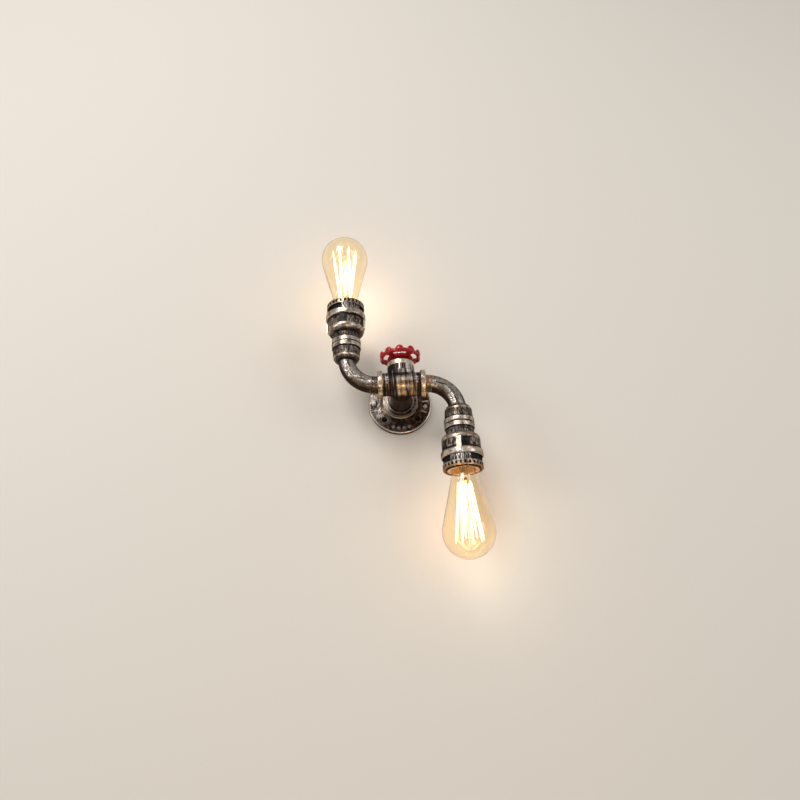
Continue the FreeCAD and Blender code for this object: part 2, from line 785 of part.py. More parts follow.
def elbow(arm):
    body = new_body(f"{arm}_elbow")
    start = "dim.arm_offset - dim.run_half + dim.arm_engagement"
    section = new_sketch(body, "section", "YZ_Plane")
    section.AttachmentOffset = Placement(Vector(0, 0, value(start)), Rotation())
    section.setExpression("AttachmentOffset.Base.z", start)
    middle = Vector(0, 0, 0)
    for index, radius in enumerate(("dim.pipe_radius", "dim.pipe_radius - dim.pipe_wall")):
        section.addGeometry(Part.Circle(middle, Vector(0, 0, 1), value(radius)), False)
        section.addConstraint(Sketcher.Constraint("Coincident", index, 3, -1, 1))
        bind(section, Sketcher.Constraint("Radius", index, value(radius)), radius)
    path = new_sketch(body, "path", "XZ_Plane")
    reach = value("dim.bend_radius")
    corner = Vector(reach, reach, 0)
    bend = Part.ArcOfCircle(Part.Circle(corner, Vector(0, 0, 1), reach), math.pi, 1.5 * math.pi)
    path.addGeometry(Part.LineSegment(Vector(value(start), 0, 0), Vector(reach, 0, 0)), False)
    path.addGeometry(bend, False)
    path.addGeometry(Part.LineSegment(Vector(0, reach, 0), Vector(0, value("dim.pipe_top"), 0)),
                     False)
    path.addConstraint(Sketcher.Constraint("Coincident", 0, 2, 1, 2))
    path.addConstraint(Sketcher.Constraint("Coincident", 2, 1, 1, 1))
    pin_point(path, 0, 1, (start, "0"))
    pin_point(path, 0, 2, ("dim.bend_radius", "0"))
    pin_point(path, 2, 1, ("0", "dim.bend_radius"))
    pin_point(path, 2, 2, ("0", "dim.pipe_top"))
    bind(path, Sketcher.Constraint("Radius", 1, reach), "dim.bend_radius")
    pipe = body.newObject("PartDesign::AdditivePipe", "pipe")
    pipe.Profile = section
    pipe.Spine = (path, ["Edge1", "Edge2", "Edge3"])
    doc.recompute()
    return body


def coupling(arm):
    body = new_body(f"{arm}_coupling")
    start = "dim.coupling_start"
    slope_end = "dim.coupling_start + dim.coupling_mouth_slope"
    pipe_fit = "dim.pipe_radius + dim.fit_gap"
    nipple_fit = "dim.nipple_radius + dim.fit_gap"
    groove = "dim.coupling_groove_radius"
    ring = "dim.coupling_ring_radius"
    turned = turn_profile(body, "turned", [
        (pipe_fit, start),
        ("dim.coupling_mouth_radius", start),
        ("dim.coupling_waist_radius", slope_end),
        ("dim.coupling_band_radius", COUPLING_BAND_END),
        (groove, COUPLING_BAND_END),
        (groove, RING_ONE),
        (ring, RING_ONE),
        (ring, RING_ONE_END),
        (groove, RING_ONE_END),
        (groove, RING_TWO),
        (ring, RING_TWO),
        (ring, RING_TWO_END),
        (groove, RING_TWO_END),
        (groove, TAPER),
        ("dim.coupling_taper_radius", TAPER),
        ("dim.coupling_neck_radius", COUPLING_END),
        (nipple_fit, COUPLING_END),
        (nipple_fit, "dim.pipe_top"),
        (pipe_fit, "dim.pipe_top"),
    ])
    corners = [("dim.coupling_band_radius", COUPLING_BAND_END),
               ("dim.coupling_waist_radius", slope_end)]
    corners += [(ring, level) for level in (RING_ONE, RING_ONE_END, RING_TWO, RING_TWO_END)]
    corners += [("dim.coupling_taper_radius", TAPER)]
    round_edges(body, "band_edges", turned, ring_edges(turned, corners), "dim.coupling_round")
    return body


def holder_nipple(arm):
    body = new_body(f"{arm}_holder_nipple")
    rings = draw_circles(body, "rings", ["dim.nipple_radius", "dim.nipple_bore"])
    bottom = f"{COUPLING_END} - dim.nipple_engagement"
    rings.AttachmentOffset = Placement(Vector(0, 0, value(bottom)), Rotation())
    rings.setExpression("AttachmentOffset.Base.z", bottom)
    extrude(body, "nipple", rings, f"{HOLDER_FLOOR} - ({bottom})")
    return body


def lock_nut(arm):
    body = new_body(f"{arm}_lock_nut")
    flats = draw_hexagon(body, "flats", "dim.lock_nut_flats")
    thread = draw_circles(body, "thread_outline", ["dim.nipple_radius + dim.fit_gap"])
    for sketch in (flats, thread):
        sketch.AttachmentOffset = Placement(Vector(0, 0, value(FLOOR_TOP)), Rotation())
        sketch.setExpression("AttachmentOffset.Base.z", FLOOR_TOP)
    extrude(body, "hexagon", flats, "dim.lock_nut_height")
    extrude(body, "thread", thread, "dim.lock_nut_height", cut=True, reverse=True)
    return body


def socket_housing(arm):
    body = new_body(f"{arm}_socket_housing")
    shell = turn_profile(body, "shell", [
        ("dim.nipple_radius + dim.fit_gap", COUPLING_END),
        (BODY, COUPLING_END),
        (BODY, BEAD),
        (BEAD_OUT, BEAD),
        (BEAD_OUT, BEAD_END),
        (RECESS, BEAD_END),
        (RECESS, SKIRT),
        (SKIRT_OUT, SKIRT),
        (SKIRT_OUT, MOUTH),
        (HOUSING_BORE, MOUTH),
        (HOUSING_BORE, FLOOR_TOP),
        ("dim.nipple_radius + dim.fit_gap", FLOOR_TOP),
    ])
    shoulder = round_edges(body, "shoulder", shell,
                           ring_edges(shell, [(BODY, COUPLING_END)]),
                           "dim.housing_shoulder_round")
    bead_corners = [(BEAD_OUT, BEAD), (BEAD_OUT, BEAD_END)]
    round_edges(body, "bead_edges", shoulder, ring_edges(shoulder, bead_corners), "dim.bead_round")
    pad_outline = draw_outline(body, "pad_outline", [
        (f"{RECESS} - dim.pad_root", BEAD_END),
        (f"{RECESS} + dim.pad_rise", BEAD_END),
        (f"{RECESS} + dim.pad_rise", SKIRT),
        (f"{RECESS} - dim.pad_root", SKIRT),
    ])
    pad = revolve(body, "pad", pad_outline, sweep="dim.pad_sweep", middle=True)
    repeat_round(body, "pads", [pad], "dim.pad_count")
    rib_start = f"{COUPLING_END} + dim.housing_shoulder_round"
    rib_outline = draw_outline(body, "rib_outline", [
        (f"{BODY} - dim.rib_root", rib_start),
        (BODY, rib_start),
        (f"{BODY} + dim.rib_rise", f"{rib_start} + dim.rib_slope"),
        (f"{BODY} + dim.rib_rise", f"{BEAD} + dim.bead_round"),
        (f"{BODY} - dim.rib_root", f"{BEAD} + dim.bead_round"),
    ])
    rib = extrude(body, "rib", rib_outline, "dim.rib_width", middle=True)
    repeat_round(body, "ribs", [rib], "dim.rib_count")
    return body


def clamp_ring(arm):
    body = new_body(f"{arm}_clamp_ring")
    bottom = f"{SKIRT} + dim.free_gap"
    top = f"{bottom} + dim.clamp_length"
    bore = f"{SKIRT_OUT} + dim.fit_gap"
    ring = turn_profile(body, "ring", [
        (bore, bottom),
        (CLAMP_OUT, bottom),
        (CLAMP_OUT, top),
        (bore, top),
    ])
    edges = ring_edges(ring, [(CLAMP_OUT, bottom), (CLAMP_OUT, top)])
    round_edges(body, "ring_edges", ring, edges, "dim.clamp_round")
    slot_bottom = f"{bottom} + (dim.clamp_length - dim.slot_length) / 2"
    slot_outline = draw_outline(body, "slot_outline", [
        (f"{CLAMP_OUT} - dim.slot_depth", slot_bottom),
        (f"{CLAMP_OUT} + dim.slot_depth", slot_bottom),
        (f"{CLAMP_OUT} + dim.slot_depth", f"{slot_bottom} + dim.slot_length"),
        (f"{CLAMP_OUT} - dim.slot_depth", f"{slot_bottom} + dim.slot_length"),
    ])
    slot = extrude(body, "slot", slot_outline, "dim.slot_width", cut=True, middle=True)
    repeat_round(body, "slots", [slot], "dim.slot_count")
    return body


def holder_insert(arm):
    body = new_body(f"{arm}_holder_insert")
    front = f"{MOUTH} - dim.holder_drop"
    turn_profile(body, "insert", [
        ("dim.nipple_radius + dim.fit_gap", HOLDER_BASE),
        (HOLDER_OUT, HOLDER_BASE),
        (HOLDER_OUT, front),
        (f"{SHELL_FIT} + dim.holder_mouth_step", front),
        (f"{SHELL_FIT} + dim.holder_mouth_step", SHELL_TOP),
        (SHELL_FIT, SHELL_TOP),
        (SHELL_FIT, HOLDER_FLOOR),
        ("dim.nipple_radius + dim.fit_gap", HOLDER_FLOOR),
    ])
    for name, side in (("first_terminal_hole", "1"), ("second_terminal_hole", "-1")):
        hole = draw_circles(body, f"{name}_outline", ["dim.terminal_radius + dim.fit_gap"],
                            centre=(f"{side} * ({TERMINAL_PLACE})", "0"))
        hole.AttachmentOffset = Placement(Vector(0, 0, value(HOLDER_BASE)), Rotation())
        hole.setExpression("AttachmentOffset.Base.z", HOLDER_BASE)
        extrude(body, name, hole, "dim.terminal_length + dim.free_gap", cut=True, reverse=True)
    return body


def screw_shell(arm):
    body = new_body(f"{arm}_screw_shell")
    turn_profile(body, "shell", [
        ("dim.shell_foot_bore", HOLDER_FLOOR),
        (SHELL_OUT, HOLDER_FLOOR),
        (SHELL_OUT, SHELL_TOP),
        (SHELL_BORE, SHELL_TOP),
        (SHELL_BORE, f"{HOLDER_FLOOR} + dim.shell_wall"),
        ("dim.shell_foot_bore", f"{HOLDER_FLOOR} + dim.shell_wall"),
    ])
    return body


def centre_contact(arm):
    """A spring strip, seated beside the middle and bent up under the bulb's foot."""
    body = new_body(f"{arm}_centre_contact")
    top = f"{FOOT_TIP} - dim.free_gap"
    thick = "dim.contact_thick"
    heel = "dim.shell_foot_bore - dim.contact_inset"
    strip = draw_outline(body, "strip_outline", [
        (heel, HOLDER_FLOOR),
        (heel, f"{HOLDER_FLOOR} + {thick}"),
        (f"{heel} - dim.contact_heel", f"{HOLDER_FLOOR} + {thick}"),
        ("dim.foot_radius / 2", top),
        ("-dim.foot_radius", top),
        ("-dim.foot_radius", f"{top} - {thick}"),
        (f"dim.foot_radius / 2 - {thick} / 2", f"{top} - {thick}"),
        (f"{heel} - dim.contact_heel - {thick} / 2", HOLDER_FLOOR),
    ])
    extrude(body, "strip", strip, "dim.contact_width", middle=True)
    return body


def terminal_screws(arm):
    """Two screws in the back of the lampholder insert."""
    pieces = []
    for side in ("1", "-1"):
        for part, radius, bottom, length in (
                ("head", "dim.terminal_head_radius", f"{HOLDER_BASE} - dim.terminal_head",
                 "dim.terminal_head"),
                ("shank", "dim.terminal_radius", HOLDER_BASE, "dim.terminal_length")):
            piece = doc.addObject("Part::Cylinder", f"{arm}_terminal_{part}")
            piece.setExpression("Radius", radius)
            piece.setExpression("Height", length)
            piece.setExpression("Placement.Base.x", f"{side} * ({TERMINAL_PLACE})")
            piece.setExpression("Placement.Base.z", bottom)
            pieces.append(piece)
    screws = doc.addObject("Part::MultiFuse", f"{arm}_terminal_screws")
    screws.Shapes = pieces
    screws.Label = f"{arm}_terminal_screws"
    NODES.append(screws)
    return screws


# One bulb, with the same frame as its arm

GLASS_SEAT = f"{CAP_RIM} + dim.fit_gap"
GLASS_END = f"{CAP_RIM} - dim.glass_tuck"
TUCK_RADIUS = "dim.bulb_cap_radius - dim.bulb_cap_wall - dim.fit_gap"
NECK_RADIUS = "dim.bulb_cap_radius + dim.bulb_neck_rise"
NECK_END = f"{CAP_RIM} + dim.bulb_neck_length"
PINCH = f"{CAP_RIM} + dim.stem_rise"
PINCH_END = f"{PINCH} + dim.stem_pinch_length"
BUTTONS = {
    "lower": f"{PINCH_END} + dim.lower_button_rise",
    "upper": f"{BULB_TIP} - dim.upper_button_drop",
}
CAGE_LEVELS = {
    "lower": f"{BUTTONS['lower']} - dim.cage_lower_drop",
    "upper": f"{BUTTONS['upper']} + dim.cage_upper_lift",
}


def bulb_outline(body, name, inset):
    """Half of the bulb: neck, straight flank and round crown, drawn in by an inset."""
    sketch = new_sketch(body, name, "XZ_Plane")
    crown = f"dim.bulb_radius - {inset}"
    middle = f"{BULB_TIP} - dim.bulb_radius"
    tip = f"{BULB_TIP} - {inset}"
    tuck = f"{TUCK_RADIUS} - {inset}"
    neck = f"{NECK_RADIUS} - {inset}"
    seat = f"{GLASS_SEAT} + {inset}"
    places = [("0", GLASS_END), (tuck, GLASS_END), (tuck, seat), (neck, seat),
              (neck, NECK_END)]
    corners = [Vector(value(across), value(along), 0) for across, along in places]
    centre = Vector(0, value(middle), 0)
    away = centre - corners[-1]
    reach = math.sqrt(away.Length ** 2 - value(crown) ** 2)
    lean = math.asin(value(crown) / away.Length) - math.atan2(-away.x, away.y)
    touch = corners[-1] + Vector(math.sin(lean), math.cos(lean), 0) * reach
    circle = Part.Circle(centre, Vector(0, 0, 1), value(crown))
    start = math.atan2(touch.y - centre.y, touch.x)
    for first, second in zip(corners, corners[1:]):
        sketch.addGeometry(Part.LineSegment(first, second), False)
    flank = sketch.addGeometry(Part.LineSegment(corners[-1], touch), False)
    arc = sketch.addGeometry(Part.ArcOfCircle(circle, start, math.pi / 2), False)
    axis = sketch.addGeometry(Part.LineSegment(Vector(0, value(tip), 0), corners[0]), False)
    for line in range(flank):
        sketch.addConstraint(Sketcher.Constraint("Coincident", line, 2, line + 1, 1))
    sketch.addConstraint(Sketcher.Constraint("Tangent", flank, 2, arc, 1))
    sketch.addConstraint(Sketcher.Constraint("Coincident", arc, 2, axis, 1))
    sketch.addConstraint(Sketcher.Constraint("Coincident", axis, 2, 0, 1))
    for line, place in enumerate(places):
        pin_point(sketch, line, 1, place)
    pin_point(sketch, arc, 3, ("0", middle))
    bind(sketch, Sketcher.Constraint("Radius", arc, value(crown)), crown)
    sketch.addConstraint(Sketcher.Constraint("PointOnObject", axis, 1, -2))
    return sketch


def bulb_glass(arm):
    body = new_body(f"{arm}_bulb_glass")
    solid = revolve(body, "envelope", bulb_outline(body, "envelope_outline", "0"))
    neck = ring_edges(solid, [(NECK_RADIUS, NECK_END)])
    round_edges(body, "neck_blend", solid, neck, "dim.bulb_neck_blend")
    revolve(body, "hollow", bulb_outline(body, "hollow_outline", "dim.glass_wall"), cut=True)
    return body


def bulb_cap(arm):
    body = new_body(f"{arm}_bulb_cap")
    turn_in = "dim.bulb_cap_turn_in"
    wall = "dim.bulb_cap_wall"
    flare = "dim.bulb_cap_radius + dim.bulb_cap_flare"
    turn_profile(body, "cap", [
        (f"dim.bulb_cap_radius - {turn_in} - {wall}", CAP_BASE),
        (f"dim.bulb_cap_radius - {turn_in}", CAP_BASE),
        ("dim.bulb_cap_radius", f"{CAP_BASE} + {turn_in}"),
        ("dim.bulb_cap_radius", f"{CAP_RIM} - 2 * {turn_in}"),
        (flare, f"{CAP_RIM} - {turn_in}"),
        (flare, CAP_RIM),
        (f"dim.bulb_cap_radius - {wall}", CAP_RIM),
        (f"dim.bulb_cap_radius - {wall}", f"{CAP_BASE} + {turn_in}"),
    ])
    return body


def cap_insulator(arm):
    body = new_body(f"{arm}_cap_insulator")
    bottom = f"{CAP_BASE} - dim.insulator_height"
    edge = "dim.bulb_cap_radius - dim.bulb_cap_turn_in - dim.bulb_cap_wall - dim.fit_gap"
    recess = "dim.foot_radius + dim.running_gap"
    turn_profile(body, "insulator", [
        (recess, bottom),
        ("dim.insulator_end_radius", bottom),
        (edge, CAP_BASE),
        (edge, f"{CAP_BASE} + dim.bulb_cap_turn_in / 2"),
        ("0", f"{CAP_BASE} + dim.bulb_cap_turn_in / 2"),
        ("0", f"{bottom} + dim.foot_height / 2"),
        (recess, f"{bottom} + dim.foot_height / 2"),
    ])
    return body


def foot_contact(arm):
    body = new_body(f"{arm}_foot_contact")
    top = f"{CAP_BASE} - dim.insulator_height + dim.foot_height / 2"
    turn_profile(body, "foot", [
        ("0", FOOT_TIP),
        ("dim.foot_radius / 2", FOOT_TIP),
        ("dim.foot_radius", f"{FOOT_TIP} + dim.foot_height / 2"),
        ("dim.foot_radius", top),
        ("0", top),
    ])
    return body


def glass_stem(arm):
    """The flared stem tube, its pinch and the rod with the two wire buttons."""
    body = new_body(f"{arm}_glass_stem")
    flare = f"{TUCK_RADIUS} - dim.glass_wall - dim.fit_gap"
    wall = "dim.glass_wall"
    tube = "dim.stem_tube_radius"
    half = "dim.button_length / 2"
    lower, upper = BUTTONS["lower"], BUTTONS["upper"]
    turn_profile(body, "tube_and_rod", [
        (f"{flare} - {wall}", GLASS_END),
        (flare, GLASS_END),
        (tube, f"{GLASS_END} + {flare} - {tube}"),
        (tube, PINCH),
        ("dim.rod_radius", PINCH_END),
        ("dim.rod_radius", f"{lower} - {half}"),
        ("dim.button_radius", f"{lower} - {half} / 2"),
        ("dim.button_radius", f"{lower} + {half} / 2"),
        ("dim.rod_radius", f"{lower} + {half}"),
        ("dim.rod_radius", f"{upper} - {half}"),
        ("dim.button_radius", f"{upper} - {half} / 2"),
        ("dim.button_radius", f"{upper} + {half} / 2"),
        ("dim.rod_radius", f"{upper} + {half}"),
        ("0", f"{upper} + {half}"),
        ("0", f"{PINCH} - {wall}"),
        (f"{tube} - {wall}", f"{PINCH} - {wall}"),
        (f"{tube} - {wall}", f"{GLASS_END} + {flare} - {tube}"),
    ])
    pinch = draw_outline(body, "pinch_outline", [
        (f"-{tube}", "-dim.rod_radius"),
        (tube, "-dim.rod_radius"),
        (tube, "dim.rod_radius"),
        (f"-{tube}", "dim.rod_radius"),
    ], plane="XY_Plane")
    pinch.AttachmentOffset = Placement(Vector(0, 0, value(PINCH)), Rotation())
    pinch.setExpression("AttachmentOffset.Base.z", PINCH)
    extrude(body, "pinch", pinch, "dim.stem_pinch_length")
    return body


def anchor(number, inset=0.0):
    """Where the filament hangs: even numbers at the stem, odd ones near the crown."""
    ring = "lower" if number % 2 == 0 else "upper"
    radius = value(f"dim.cage_{ring}_radius") - inset
    height = value(CAGE_LEVELS[ring])
    angle = 2 * math.pi * number / int(value("dim.cage_strands"))
    return Vector(radius * math.cos(angle), radius * math.sin(angle), height)


def straight_wire(start, end, radius):
    return Part.makeCylinder(radius, (end - start).Length, start, end - start)


def new_wire_node(label, shape):
    node = doc.addObject("Part::Feature", label)
    node.Label = label
    node.Shape = shape
    NODES.append(node)
    return node


def filament(arm):
    """The cage: strands running to and fro, with a small knuckle where they turn."""
    places = [anchor(number) for number in range(int(value("dim.cage_strands")))]
    radius = value("dim.filament_radius")
    strands = [straight_wire(place, following, radius)
               for place, following in zip(places, places[1:] + places[:1])]
    turns = [Part.makeSphere(value("dim.turn_radius"), place) for place in places]
    return new_wire_node(f"{arm}_filament", strands[0].multiFuse(strands[1:] + turns))


def support_wires(arm):
    """A hook from a button to each turn of the filament, cut to the button's round."""
    radius = value("dim.hook_radius")
    clear = value("dim.turn_radius + dim.fit_gap")
    button = Part.makeCylinder(value("dim.button_radius + dim.fit_gap"), value(BULB_TIP))
    wires = []
    for number in range(int(value("dim.cage_strands"))):
        ring = "lower" if number % 2 == 0 else "upper"
        hook = anchor(number, inset=clear)
        root = Vector(hook.x, hook.y, 0).normalize() * value("dim.button_radius - dim.hook_radius")
        root.z = value(BUTTONS[ring])
        wires.append(straight_wire(root, hook, radius).cut(button))
    return new_wire_node(f"{arm}_support_wires", Part.makeCompound(wires))


def build_arm(arm, side, flip):
    for make in (elbow, coupling, holder_nipple, lock_nut, clamp_ring, holder_insert,
                 terminal_screws, screw_shell, centre_contact, bulb_glass, bulb_cap,
                 cap_insulator, foot_contact, glass_stem, filament, support_wires):
        stand(make(arm), side=side, flip=flip)
    stand(socket_housing(arm), side=side, flip=flip, turn=f"dim.{arm}_housing_turn")


wall_flange()
hub_set_screw()
rear_tube()
tee_body()
bonnet_cap()
switch_body()
switch_nut()
wheel_spindle()
handwheel()
wheel_washer()
wheel_nut()
build_arm("upper", -1, False)
build_arm("lower", 1, True)

doc.recompute()
os.makedirs("parts", exist_ok=True)
failed = [item.Name for item in doc.Objects if "Invalid" in item.State or "Error" in item.State]
if failed:
    raise RuntimeError(f"these failed to recompute: {failed}")
CUTS = ("PartDesign::Pocket", "PartDesign::Groove", "PartDesign::SubtractiveCylinder")
for item in doc.Objects:
    if item.TypeId in CUTS and item.BaseFeature.Shape.Volume - item.Shape.Volume < SMALLEST_CUT:
        raise RuntimeError(f"{item.Name} takes nothing off its body")
for body in NODES:
    shape = body.Shape
    if shape.isNull() or not shape.isValid():
        raise RuntimeError(f"{body.Label} has no valid shape")
    box = shape.BoundBox
    print(f"{body.Label:24s} solids {len(shape.Solids)} volume {shape.Volume:9.1f} "
          f"x {box.XMin:7.1f} {box.XMax:7.1f} y {box.YMin:7.1f} {box.YMax:7.1f} "
          f"z {box.ZMin:7.1f} {box.ZMax:7.1f}")
    shape.exportStep(f"parts/{body.Label}.step")
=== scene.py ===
# %% [markdown]
# # A wall sconce of pipe fittings
#
# The real object is a cast flange on a wall, a tee with a red valve handwheel, and two
# elbow arms with lampholders and tall bulbs, one up and one down. Its solids come ready
# from the engineering model, in metres, with the origin on the wall at the middle of the
# flange. This lesson dresses them: the camera, the finishes, the small pieces that only
# matter to the eye, and last the room with its light.

# %% Load the solids and keep their box
import math

import bmesh
import bpy
from mathutils import Matrix, Vector


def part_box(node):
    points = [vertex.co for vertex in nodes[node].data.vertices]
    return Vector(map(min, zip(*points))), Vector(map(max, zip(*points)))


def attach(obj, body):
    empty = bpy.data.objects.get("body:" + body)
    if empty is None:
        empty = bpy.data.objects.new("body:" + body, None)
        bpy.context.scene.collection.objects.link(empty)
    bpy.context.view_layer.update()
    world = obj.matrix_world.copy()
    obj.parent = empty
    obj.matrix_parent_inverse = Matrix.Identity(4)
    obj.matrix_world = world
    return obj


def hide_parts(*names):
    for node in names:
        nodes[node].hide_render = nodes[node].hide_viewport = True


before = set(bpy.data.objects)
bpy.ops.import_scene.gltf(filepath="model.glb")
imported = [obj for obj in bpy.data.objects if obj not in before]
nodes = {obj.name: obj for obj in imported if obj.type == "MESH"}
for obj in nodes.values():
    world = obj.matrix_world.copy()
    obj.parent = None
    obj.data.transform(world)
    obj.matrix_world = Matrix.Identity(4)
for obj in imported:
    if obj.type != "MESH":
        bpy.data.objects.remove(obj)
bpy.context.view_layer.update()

# %% [markdown]
# ## The camera
#
# A photograph can be matched by eye, or by solving for the camera from known sizes. Here
# the place and the angles were solved: the camera stands 0.85 m from the wall, well below
# the lamp, and looks up. Blender looks along its own -Z, so the three directions below
# fill the columns of its matrix.

# %% Camera
CAMERA_PLACE = Vector((-0.0420, -0.8513, -0.3671))
CAMERA_AZIMUTH = math.radians(-2.852)
CAMERA_PITCH = math.radians(23.776)
CAMERA_ROLL = math.radians(3.058)
FRAME_PIXELS = 800
FOCAL_PIXELS = 674.26
SENSOR_WIDTH = 36.0


def camera_axes():
    """The camera's right, up and forward directions in the room."""
    forward = Vector((-math.sin(CAMERA_AZIMUTH) * math.cos(CAMERA_PITCH),
                      math.cos(CAMERA_AZIMUTH) * math.cos(CAMERA_PITCH),
                      math.sin(CAMERA_PITCH)))
    level = Vector((math.cos(CAMERA_AZIMUTH), math.sin(CAMERA_AZIMUTH), 0))
    upright = level.cross(forward)
    right = level * math.cos(CAMERA_ROLL) - upright * math.sin(CAMERA_ROLL)
    up = upright * math.cos(CAMERA_ROLL) + level * math.sin(CAMERA_ROLL)
    return right, up, forward


def into_scene(name, data):
    """A new object with this data, linked into the scene."""
    thing = bpy.data.objects.new(name, data)
    bpy.context.scene.collection.objects.link(thing)
    return thing


lens = bpy.data.cameras.new("photo_lens")
lens.sensor_width = SENSOR_WIDTH
lens.lens = FOCAL_PIXELS / FRAME_PIXELS * SENSOR_WIDTH
camera = into_scene("photo_camera", lens)
right, up, forward = camera_axes()
camera.matrix_world = (Matrix.Translation(CAMERA_PLACE)
                       @ Matrix((right, up, -forward)).transposed().to_4x4())
bpy.context.scene.camera = camera
bpy.context.scene.view_settings.view_transform = "Standard"
print("lens", round(lens.lens, 2), "mm")

# %% [markdown]
# ## Building finishes out of nodes
#
# A finish is a small graph of nodes. Writing every link by hand hides the idea, so a
# helper class keeps one graph and offers the few moves used again and again: a formula,
# a stretched noise, a smooth step, a mix. `place` is the point on the object in metres,
# which moves with the piece, so the pattern stays stuck to it when an arm swings.

# %% The finish helper
SHADE_SAMPLES = 6
EDGE_LIKENESS = (0.99, 0.88)
GROOVE_OPENNESS = (0.80, 0.35)


class Finish:
    """One material's graph, with short calls for its usual nodes."""

    def __init__(self, name):
        self.material = bpy.data.materials.new(name)
        self.material.use_nodes = True
        self.tree = self.material.node_tree
        self.shader = self.tree.nodes["Principled BSDF"]
        source = self.add("ShaderNodeTexCoord")
        self.place = source.outputs["Object"]
        self.facing = source.outputs["Normal"]

    def add(self, kind, **settings):
        """A new node with these settings."""
        node = self.tree.nodes.new(kind)
        for key, setting in settings.items():
            setattr(node, key, setting)
        return node

    def feed(self, socket, source):
        """Put a number, a colour or another node's output on a socket."""
        if isinstance(source, bpy.types.NodeSocket):
            self.tree.links.new(source, socket)
        elif socket.type == "RGBA":
            socket.default_value = (*source[:3], 1.0)
        else:
            socket.default_value = source

    def math(self, operation, first, second=0.0):
        node = self.add("ShaderNodeMath", operation=operation)
        self.feed(node.inputs[0], first)
        self.feed(node.inputs[1], second)
        return node.outputs[0]

    def step(self, source, low, high, start=0.0, end=1.0):
        """`start` at `low` and before, `end` at `high` and beyond, smooth in between."""
        if low > high:
            low, high, start, end = high, low, end, start
        node = self.add("ShaderNodeMapRange", interpolation_type="SMOOTHSTEP")
        self.feed(node.inputs["Value"], source)
        for socket, setting in zip(("From Min", "From Max", "To Min", "To Max"),
                                   (low, high, start, end)):
            node.inputs[socket].default_value = setting
        return node.outputs["Result"]

    def split(self, vector):
        node = self.add("ShaderNodeSeparateXYZ")
        self.feed(node.inputs[0], vector)
        return tuple(node.outputs)

    def join(self, *parts):
        node = self.add("ShaderNodeCombineXYZ")
        for socket, source in zip(node.inputs, parts):
            self.feed(socket, source)
        return node.outputs[0]

    def noise(self, vector, waves, detail):
        """Noise of mean 0.5; `waves` a metre, as one number or as one for each axis."""
        mapping = self.add("ShaderNodeMapping")
        self.feed(mapping.inputs["Vector"], vector)
        mapping.inputs["Scale"].default_value = (waves,) * 3 if isinstance(waves, int) else waves
        node = self.add("ShaderNodeTexNoise")
        self.feed(node.inputs["Vector"], mapping.outputs[0])
        node.inputs["Scale"].default_value = 1.0
        node.inputs["Detail"].default_value = detail
        return node.outputs[0]

    def mix(self, amount, first, second):
        node = self.add("ShaderNodeMix", data_type="RGBA")
        self.feed(node.inputs[0], amount)
        self.feed(node.inputs[6], first)
        self.feed(node.inputs[7], second)
        return node.outputs[2]

    def edges(self, width):
        """Near 1 along sharp edges: a rounded-off normal differs from the plain one there."""
        soft = self.add("ShaderNodeBevel", samples=SHADE_SAMPLES)
        soft.inputs["Radius"].default_value = width
        plain = self.add("ShaderNodeNewGeometry").outputs["Normal"]
        likeness = self.add("ShaderNodeVectorMath", operation="DOT_PRODUCT")
        self.feed(likeness.inputs[0], soft.outputs[0])
        self.feed(likeness.inputs[1], plain)
        return self.step(likeness.outputs["Value"], *EDGE_LIKENESS)

    def crevices(self, reach):
        """Near 1 deep in a groove, where little of the surroundings is seen."""
        shade = self.add("ShaderNodeAmbientOcclusion", samples=SHADE_SAMPLES)
        shade.inputs["Distance"].default_value = reach
        return self.step(shade.outputs["AO"], *GROOVE_OPENNESS)

    def by_eye(self, hidden, seen):
        """`seen` where the camera looks, also through glass, and `hidden` for light on walls."""
        rays = self.add("ShaderNodeLightPath")
        looked_at = self.math("MAXIMUM", rays.outputs["Is Camera Ray"],
                              rays.outputs["Is Transmission Ray"])
        off_a_wall = self.math("GREATER_THAN", rays.outputs["Diffuse Depth"], 0.5)
        return self.step(self.math("SUBTRACT", looked_at, off_a_wall), 0, 1, hidden, seen)

    def bump(self, height, depth, strength):
        """A relief as deep as `depth` in metres, in the light only and not in the shape."""
        node = self.add("ShaderNodeBump")
        node.inputs["Strength"].default_value = strength
        node.inputs["Distance"].default_value = depth
        self.feed(node.inputs["Height"], height)
        self.feed(self.shader.inputs["Normal"], node.outputs[0])

    def set(self, **sockets):
        """Fill the shader's sockets by name, with _ for a space."""
        for name, source in sockets.items():
            self.feed(self.shader.inputs[name.replace("_", " ")], source)

    def put_on(self, *names):
        """Give the finish to solids, by name."""
        for name in names:
            slots = nodes[name].data.materials
            slots.clear()
            slots.append(self.material)


print("finish helper with", sum(callable(call) for call in vars(Finish).values()), "calls")

# %% [markdown]
# ## Where things are
#
# Finishes change at edges that the solids define, so the places are read from the solids'
# own boxes. The two arms are alike, and the lower one is the upper one turned by half a
# turn, so an arm's finish works in its own directions: across, deep, and out along it.

# %% Places read from the solids
ARMS = {"upper": 1.0, "lower": -1.0}
RUN_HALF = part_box("tee_body")[1].x
AXIS_Y = (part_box("wheel_nut")[0].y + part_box("wheel_nut")[1].y) / 2
ARM_OFFSET = -(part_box("upper_lock_nut")[0].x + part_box("upper_lock_nut")[1].x) / 2
BEND_RADIUS = 0.038
HUB_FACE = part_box("wall_flange")[0].y
FLANGE_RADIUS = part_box("wall_flange")[1].x
FLANGE_FACE = -0.006
RUN_RADIUS = 0.015
print("axis depth", round(AXIS_Y, 4), "arm offset", round(ARM_OFFSET, 4))


